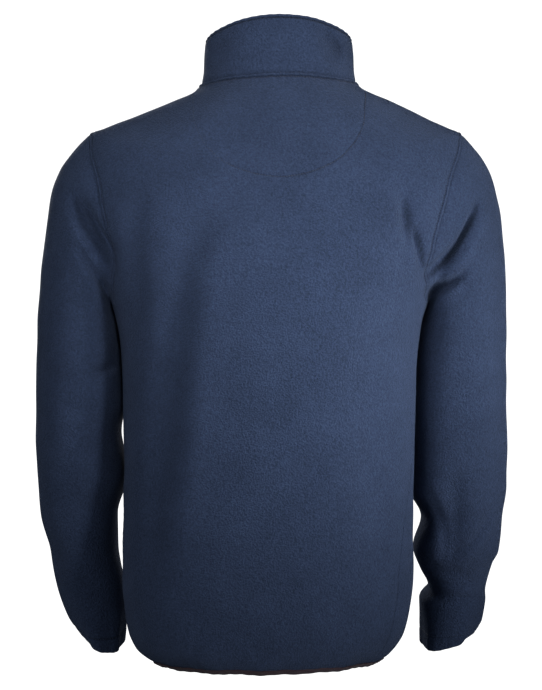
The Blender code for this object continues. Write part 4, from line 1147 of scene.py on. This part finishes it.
def make_collar(material):
    """Make the stand collar: two layers turned over a rounded rim."""
    edge = centre_front_angle(COLLAR, 0.0, FRONT_EDGE + COLLAR_WALL / 2)
    half = COLLAR_WALL / 2
    ups = np.concatenate(((0.0, 0.7, 1.4, 2.2, 3.6, 5.2), np.arange(7.5, COLLAR_UP - 7, 2.5),
                          np.linspace(COLLAR_UP - 6, COLLAR_UP - half, 5)))
    angles = np.linspace(edge, math.pi - edge, 230)
    angle = np.repeat(angles[None, :], len(ups), axis=0)
    up = np.repeat(ups[:, None], len(angles), axis=1)
    surface = collar_surface(angle, up)
    normal = unit(surface_normal(collar_surface, angle, up, FINE_STEPS) * (1, 1, 0.3))
    tucked = np.exp(-(up / COLLAR_ROLL_WIDTH) ** 2)
    outer = surface + normal * COLLAR_PROUD
    inner = outer - normal * COLLAR_WALL
    rim = collar_line(angles, COLLAR_UP - COLLAR_STITCH)
    front = [outer[:, column] + unit(outer[:, neighbour] - outer[:, column]) * STITCH_AWAY
             for column, neighbour in ((0, 1), (-1, -2))]
    lift = line_profile(outer, [rim, *front]) - COLLAR_ROLL * tucked
    # what the material paints shade by: the stitching's grooves, the height above the neck seam, and the
    # collar's dents
    shading = {"stitch": distance_to(outer, [rim, *front]),
               "seam": COLLAR_SEAM_SHARE * up,
               "pressed": COLLAR_SHADE * fold_depth(outer, normal, COLLAR_FOLDS)}
    outer = outer + normal * lift[..., None]
    outer[..., 2] -= TUCK * tucked
    inner[..., 2] -= TUCK * tucked
    inner = inner - normal * (0.4 * line_profile(inner, [rim]))[..., None]
    wall = Wall(outer, inner)
    wall.row_rim(0)
    wall.row_rim(wall.rows - 1, LIP_STEPS)
    wall.column_rim(0, LIP_STEPS)
    wall.column_rim(wall.columns - 1, LIP_STEPS)
    return wall.make("cloth_collar", material, "collar", shading)


def collar_line(angles, up):
    """Return a line round the collar's outside at one height."""
    ups = np.full(len(angles), up)
    points = collar_surface(angles, ups)
    return points + surface_normal(collar_surface, angles, ups, FINE_STEPS) * COLLAR_PROUD


def make_binding(material):
    """Make the folded elastic binding round the hem's edge, with rounded folds."""
    centre = centre_front_angle(TORSO, HEM_DOWN, FRONT_EDGE)
    ring = np.linspace(centre, math.pi - centre, 420)
    edge_down = np.full(len(ring), HEM_DOWN)
    top_down = edge_down - BINDING_HEIGHT
    edge = torso_surface(ring, edge_down)
    top = torso_surface(ring, top_down)
    edge_normal = torso_normal(ring, edge_down)
    top_normal = torso_normal(ring, top_down)
    onward = unit(edge - top)
    middle = BINDING_GAP + BINDING / 2

    def leaf(part, facing, away):
        normal = unit(top_normal * (1 - part) + edge_normal * part)
        return top * (1 - part) + edge * part + facing * normal * away, facing * normal

    path = [leaf(part, 1, middle) for part in BINDING_PARTS]
    for step in range(1, BINDING_TURNS):
        turn = math.pi * step / BINDING_TURNS
        outward = edge_normal * math.cos(turn) + onward * math.sin(turn)
        path.append((edge - edge_normal * FLEECE / 2 + outward * (FLEECE / 2 + middle), outward))
    path += [leaf(part, -1, FLEECE + middle) for part in BINDING_PARTS[::-1]]
    outer = np.stack([place + facing * BINDING / 2 for place, facing in path])
    inner = np.stack([place - facing * BINDING / 2 for place, facing in path])
    wall = Wall(outer, inner)
    wall.row_rim(0, 4)
    wall.row_rim(wall.rows - 1, 4)
    wall.column_rim(0)
    wall.column_rim(wall.columns - 1)
    thing = wall.make("cloth_binding", material, "hem_binding")
    return thing, outer[1], path[1][1]


# ---------------------------------------------------------------- zip

def zip_line(side, away, deep, downs, ups):
    """Return a line beside the centre front, at a depth behind the cloth's outside."""
    extra = COLLAR_WALL - COLLAR_PROUD - FLEECE
    angle = from_side(side, centre_front_angle(TORSO, downs, away))
    closeness = np.clip(1 - downs / 20, 0, 1)
    body = torso_surface(angle, downs) - torso_normal(angle, downs) * (deep + extra * closeness)[:, None]
    angle = from_side(side, centre_front_angle(COLLAR, ups, away))
    collar = ring_point(COLLAR, angle, ups) + np.array((0, deep + extra, 0))
    return np.concatenate((body, collar))


def zip_places(start, top):
    downs = np.concatenate((np.arange(start, 6, -4.0), (6.0, 3.0, 0.0)))
    ups = np.linspace(0, top, 18)[1:]
    return downs, ups


def make_tape(side, material):
    deep = FLEECE + TAPE_GAP
    downs, ups = zip_places(HEM_DOWN - BINDING_HEIGHT - TAPE_END, COLLAR_UP - ZIP_TOP_MARGIN)
    aways = np.linspace(TAPE_EDGE, TAPE_EDGE + TAPE_WIDTH, 7)
    outer = np.stack([zip_line(side, away, deep, downs, ups) for away in aways], axis=1)
    inner = np.stack([zip_line(side, away, deep + TAPE_WALL, downs, ups) for away in aways], axis=1)
    wall = Wall(outer, inner)
    wall.row_rim(0)
    wall.row_rim(wall.rows - 1)
    wall.column_rim(0, 4)
    wall.column_rim(wall.columns - 1, 4)
    name = f"zip_tape_{SIDE_NAMES[side]}"
    return wall.make(f"woven_{name}", material, name)


def make_teeth(material):
    """Make the two rows of teeth, closed into each other up to the slider."""
    top = slider_centre()[2] + SLIDER_HALF_LENGTH - SEAM_FRONT_Z - TEETH_BELOW_SLIDER_TOP
    top_up = COLLAR_UP * top / (RIM_FRONT_Z - SEAM_FRONT_Z)
    downs, ups = zip_places(HEM_DOWN - BOX_HEIGHT - SLIDER_GAP, top_up)
    centre, outside = ((zip_line(1, 0.01, deep, downs, ups) + zip_line(-1, 0.01, deep, downs, ups)) / 2
                       for deep in (ZIP_MIDDLE, ZIP_MIDDLE - 1))
    lines = np.concatenate((centre, outside - centre), axis=1)
    spots = even_steps(lines, TOOTH_PITCH / 2)
    ahead = unit(np.gradient(spots[:, :3], axis=0))
    points = []
    faces = []
    for index, (spot, along) in enumerate(zip(spots, ahead)):
        out = unit(spot[3:])
        across = unit(np.cross(along, out)) * (1 if index % 2 else -1)
        faces += tube_faces(len(points), len(TOOTH_RINGS), TOOTH_CORNERS)
        for reach, half, size in TOOTH_RINGS:
            for corner in range(TOOTH_CORNERS):
                turn = 2 * math.pi * corner / TOOTH_CORNERS
                points.append(spot[:3] + across * reach + along * math.sin(turn) * half
                              + out * math.cos(turn) * size * CHAIN_WALL / 2)
    thing = make_object("zip_teeth", points, faces, material, smooth_angle=50)
    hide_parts("zip_chain")


def slider_centre():
    depth = ZIP_MIDDLE - CHAIN_WALL / 2 + COLLAR_WALL - COLLAR_PROUD - FLEECE
    return np.array((COLLAR_CENTRE_X, COLLAR_FRONT_Y + depth, RIM_FRONT_Z - SLIDER_BELOW_RIM))


def extrude(outline, low, high, centre):
    """Return points and faces of an (x, z) outline pushed through a depth towards the front."""
    points = [centre + (x, -depth, z) for depth in (low, high) for x, z in outline]
    return points, tube_faces(0, 2, len(outline))


def mirrored(right):
    """Return a whole outline from the points of its right half."""
    return right + [(-x, z) for x, z in right[::-1]]


def add_bevel(thing, width, segments=2):
    edge = thing.modifiers.new("edge", "BEVEL")
    edge.width = width * MM
    edge.segments = segments
    edge.limit_method = "ANGLE"
    edge.angle_limit = math.radians(35)


def make_slider(material):
    """Make the slider: two waisted plates, the wedge between them and the arch of the pull."""
    centre = slider_centre()
    outline = mirrored([(x * SLIDER_HALF_WIDTH, z * SLIDER_HALF_LENGTH) for x, z in SLIDER_OUTLINE])
    wedge = mirrored([(POST_HALF_WIDTH, SLIDER_HALF_LENGTH - 0.4),
                      (POST_HALF_WIDTH * 0.3, SLIDER_HALF_LENGTH - 2.8)])
    front = SLIDER_GAP + SLIDER_PLATE
    back = -(CHAIN_WALL + SLIDER_GAP + SLIDER_PLATE)
    for name, shape, low, high, rounding, segments in (
            ("plate_0", outline, SLIDER_GAP, front, 0.35, 3),
            ("plate_1", outline, back, back + SLIDER_PLATE, 0.35, 3),
            ("post", wedge, back + 0.5, front - 0.5, 0.2, 2)):
        points, faces = extrude(shape, low, high, centre)
        part = make_object(f"zip_slider_{name}", points, faces, material)
        add_bevel(part, rounding, segments)
        if name == "plate_0":
            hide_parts("zip_slider")
    make_arch(centre, front, material)


def make_arch(centre, front, material):
    """Make the arch that holds the pull, as one bent strip with rounded corners."""
    inside_z = ARCH_HALF_LENGTH - ARCH_WALL / 2 - ARCH_CORNER
    inside_out = front + ARCH_TUNNEL + ARCH_WALL / 2 - ARCH_CORNER
    path = [(inside_z + ARCH_CORNER, front - 0.3)]
    for step in range(ARCH_STEPS + 1):
        turn = math.pi / 2 * step / ARCH_STEPS
        path.append((inside_z + ARCH_CORNER * math.cos(turn), inside_out + ARCH_CORNER * math.sin(turn)))
    line = np.array(mirrored(path))
    ahead = unit(np.gradient(line, axis=0))
    sideways = np.stack((-ahead[:, 1], ahead[:, 0]), axis=-1) * ARCH_WALL / 2
    points = []
    for across in (-ARCH_HALF_WIDTH, ARCH_HALF_WIDTH):
        for z, out in (*(line + sideways), *(line - sideways)[::-1]):
            points.append(centre + (across, -out, z))
    count = 2 * len(line)
    faces = tube_faces(0, 2, count)[:count]
    for start in (0, count):
        for index in range(len(line) - 1):
            opposite = start + count - 1 - index
            faces.append([start + index, start + index + 1, opposite - 1, opposite])
    arch = make_object("zip_slider_arch", points, faces, material)
    add_bevel(arch, 0.22)


def rounded_box(half_width, top, bottom, corner, steps=5):
    """Return the outline of a round-cornered tab, clockwise from its top right."""
    points = []
    for x_sign, z, turn in ((1, top - corner, 0), (1, -bottom + corner, -90),
                            (-1, -bottom + corner, -180), (-1, top - corner, -270)):
        for step in range(steps + 1):
            angle = math.radians(turn + 90 - 90 * step / steps)
            x = x_sign * (half_width - corner) + corner * math.cos(angle)
            points.append((x, z + corner * math.sin(angle)))
    return points


def make_pull(material):
    """Make the pull: a flat tab with an eye, softened edges and grip ridges."""
    axis = slider_centre() - (0, SLIDER_GAP + SLIDER_PLATE + ARCH_TUNNEL / 2 + 0.1, 0)
    eye_middle = -(PULL_BAR + PULL_EYE_LENGTH) / 2
    half_eye = PULL_EYE_LENGTH / 2
    outline = rounded_box(PULL_HALF_WIDTH, PULL_BAR / 2, PULL_LENGTH - PULL_BAR / 2, 1.2)
    eye = [(x, z + eye_middle) for x, z in rounded_box(PULL_EYE_HALF_WIDTH, half_eye, half_eye, 0.4)]
    count = len(outline)
    points = [axis + (x, depth, z) for depth in (-PULL_WALL / 2, PULL_WALL / 2)
              for x, z in (*outline, *eye)]
    faces = []
    for index in range(count):
        after = (index + 1) % count
        for first, second in ((0, count), (3 * count, 2 * count), (count, 3 * count), (2 * count, 0)):
            faces.append([first + index, first + after, second + after, second + index])
    pull = make_object("zip_pull_tab", points, faces, material, body="zip_pull")
    add_bevel(pull, 0.25, 3)
    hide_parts("zip_pull")
    points = []
    faces = []
    for number in range(GRIP_RIDGES):
        z = -GRIP_BELOW - GRIP_PITCH * number
        for face in (-1, 1):
            faces += tube_faces(len(points), GRIP_COLUMNS, 3)
            for x in np.linspace(-GRIP_HALF_WIDTH, GRIP_HALF_WIDTH, GRIP_COLUMNS):
                lift = GRIP_LIFT * (1 - (x / GRIP_HALF_WIDTH) ** 4)
                points += [axis + (x, face * (PULL_WALL / 2 + out), z + height)
                           for out, height in ((-GRIP_SINK, -GRIP_HALF_HEIGHT), (lift, 0),
                                               (-GRIP_SINK, GRIP_HALF_HEIGHT))]
    make_object("zip_pull_grip", points, faces, material, body="zip_pull")


def make_box(material):
    """Make the box that closes the bottom of the zip, with a seam down its middle."""
    downs = np.linspace(HEM_DOWN + 0.5, HEM_DOWN - BOX_HEIGHT, 9)
    front = []
    back = []
    for side, aways in ((1, BOX_AWAYS), (-1, BOX_AWAYS[::-1])):
        for away in aways:
            drop = BOX_EDGE_DROP if away in (BOX_AWAYS[0], BOX_AWAYS[-1]) else 0.0
            deep = ZIP_MIDDLE - CHAIN_WALL / 2 - BOX_PROUD + drop
            front.append(zip_line(side, away, deep, downs, np.zeros(0)))
            deep = ZIP_MIDDLE + CHAIN_WALL / 2 + BOX_BEHIND
            back.append(zip_line(side, away, deep, downs, np.zeros(0)))
    wall = Wall(np.stack(front, axis=1), np.stack(back, axis=1))
    wall.row_rim(0, 3)
    wall.row_rim(wall.rows - 1, 3)
    wall.column_rim(0)
    wall.column_rim(wall.columns - 1)
    thing = wall.make("zip_bottom_box", material, "zip_box")
    add_bevel(thing, 0.15)
    return thing


# ---------------------------------------------------------------- stitching

def stitch_everything(pieces, moon, moon_normals, binding_line, binding_normals):
    """Lay every row of topstitching on the finished cloth."""
    thread = thread_material("navy_thread", NAVY_THREAD)
    dark = thread_material("dark_navy_thread", DARK_THREAD)
    trees = {name: tree_of(piece) for name, piece in pieces.items()}
    rows = {}

    def sew(name, piece, line, normals, material, heavy=1.0):
        laid = lay_on(trees[piece], line, normals)
        rows[name] = make_stitches(f"stitches_{name}", *laid, material, heavy=heavy)

    sew("half_moon", "back", moon, moon_normals, dark, HEAVY)
    for side, name in SIDE_NAMES.items():
        line, normals = armhole_line(side)
        ahead = unit(np.gradient(line, axis=0))
        line = line + unit(np.cross(normals, ahead)) * side * STITCH_AWAY
        half = 2 * ARMHOLE_STEPS
        for part, panel, spots in (("back", "back", slice(2, half - 1)),
                                   ("front", f"front_{name}", slice(half + 2, -2))):
            sew(f"armhole_{part}_{name}", panel, line[spots], normals[spots], thread)
        downs = np.arange(8, HEM_DOWN - BINDING_HEIGHT - 4, 3.0)
        angle = from_side(side, centre_front_angle(TORSO, downs, FRONT_EDGE + FLEECE / 2 + STITCH_AWAY))
        sew(f"zip_{name}", f"front_{name}", torso_surface(angle, downs), torso_normal(angle, downs), thread)
    edge = centre_front_angle(TORSO, STITCH_AWAY, FRONT_EDGE + 3)
    for panel, low, high in (("front_left", edge, -0.02), ("back", 0.02, math.pi - 0.02),
                             ("front_right", math.pi + 0.02, math.pi - edge)):
        angle = np.linspace(low, high, 140)
        down = np.full(len(angle), STITCH_AWAY)
        sew(f"neck_{panel}", panel, torso_surface(angle, down), torso_normal(angle, down), dark, HEAVY)
    edge = centre_front_angle(COLLAR, COLLAR_UP - COLLAR_STITCH, FRONT_EDGE + 3)
    line = collar_line(np.linspace(edge, math.pi - edge, 300), COLLAR_UP - COLLAR_STITCH)
    sew("collar_rim", "collar", line, unit(line * (1, 1, 0)), dark)
    burgundy = thread_material("burgundy_thread", BURGUNDY)
    rows["binding"] = make_stitches("stitches_binding", binding_line, binding_normals, burgundy,
                                    "hem_elastic", 0.05)
    for side, name in SIDE_NAMES.items():
        turn = np.linspace(0, 2 * math.pi, 180)
        along = np.full(len(turn), SLEEVES[side]["mouth"][0] - CUFF_TURN)
        sew(f"cuff_{name}", f"sleeve_{name}", sleeve_surface(side, turn, along),
            sleeve_normal(side, turn, along), thread)
    return rows


# ---------------------------------------------------------------- studio

def add_light(name, sides, place, target, watts, spread):
    light = bpy.data.lights.new(name, "AREA")
    light.shape = "RECTANGLE"
    light.size = sides[0] * MM
    light.size_y = sides[1] * MM
    light.energy = watts
    light.spread = math.radians(spread)
    thing = bpy.data.objects.new(name, light)
    thing.location = Vector(place) * MM
    thing.rotation_euler = (Vector(target) - Vector(place)).to_track_quat("-Z", "Y").to_euler()
    bpy.context.scene.collection.objects.link(thing)


def make_studio():
    """Add the camera, the white surroundings, the lights and the floor."""
    bpy.context.scene.view_settings.view_transform = "Standard"
    bpy.context.scene.view_settings.look = "Medium High Contrast"
    camera = bpy.data.cameras.new("camera")
    camera.sensor_fit = "VERTICAL"
    camera.sensor_height = SENSOR_HEIGHT
    camera.lens = SENSOR_HEIGHT * CAMERA_AWAY / FIELD_HEIGHT
    camera.clip_end = 50
    thing = bpy.data.objects.new("camera", camera)
    thing.location = (CAMERA_X * MM, CAMERA_AWAY * MM, CAMERA_Z * MM)
    thing.rotation_euler = (math.radians(90), 0, math.radians(180))
    bpy.context.scene.collection.objects.link(thing)
    bpy.context.scene.camera = thing

    world = bpy.data.worlds.new("studio")
    bpy.context.scene.world = world
    world.use_nodes = True
    nodes = world.node_tree.nodes
    links = world.node_tree.links
    plain = nodes["Background"]
    plain.inputs["Color"].default_value = SKY
    plain.inputs["Strength"].default_value = SKY_LIGHT
    seen = nodes.new("ShaderNodeBackground")
    seen.inputs["Color"].default_value = (1, 1, 1, 1)
    seen.inputs["Strength"].default_value = 1.0
    path = nodes.new("ShaderNodeLightPath")
    mix = nodes.new("ShaderNodeMixShader")
    links.new(path.outputs["Is Camera Ray"], mix.inputs["Fac"])
    links.new(plain.outputs[0], mix.inputs[1])
    links.new(seen.outputs[0], mix.inputs[2])
    links.new(mix.outputs[0], nodes["World Output"].inputs["Surface"])

    for light in LIGHTS:
        add_light(*light)

    mesh = bpy.data.meshes.new("floor")
    half = FLOOR_HALF * MM
    corners = [(-half, -half), (half, -half), (half, half), (-half, half)]
    mesh.from_pydata([(x, y, FLOOR_Z * MM) for x, y in corners], [], [(0, 1, 2, 3)])
    mesh.materials.append(studio_material("pale_paper", FLOOR_WHITE, FLOOR_GLOW))
    floor = bpy.data.objects.new("floor", mesh)
    bpy.context.scene.collection.objects.link(floor)
    floor.visible_diffuse = False
    floor.visible_glossy = False


def main():
    downs = panel_downs()
    fleece = fleece_material("navy_fleece")
    back, moon, moon_normals = make_back(downs, fleece)
    pieces = {
        "back": back,
        "front_left": make_front(1, downs, fleece),
        "front_right": make_front(-1, downs, fleece),
        "sleeve_left": make_sleeve(1, fleece),
        "sleeve_right": make_sleeve(-1, fleece),
        "collar": make_collar(fleece),
    }
    elastic = woven_material("hem_elastic", BURGUNDY, 0.8)
    binding, binding_line, binding_normals = make_binding(elastic)
    tape = woven_material("zip_tape", NAVY_TAPE, 0.85)
    tapes = [make_tape(side, tape) for side in (1, -1)]
    plastic = plastic_material("zip_plastic", NAVY_TAPE)
    make_teeth(plastic)
    make_box(plastic)
    metal = metal_material("zip_metal")
    make_slider(metal)
    make_pull(metal)
    rows = stitch_everything(pieces, moon, moon_normals, binding_line, binding_normals)
    make_studio()


main()
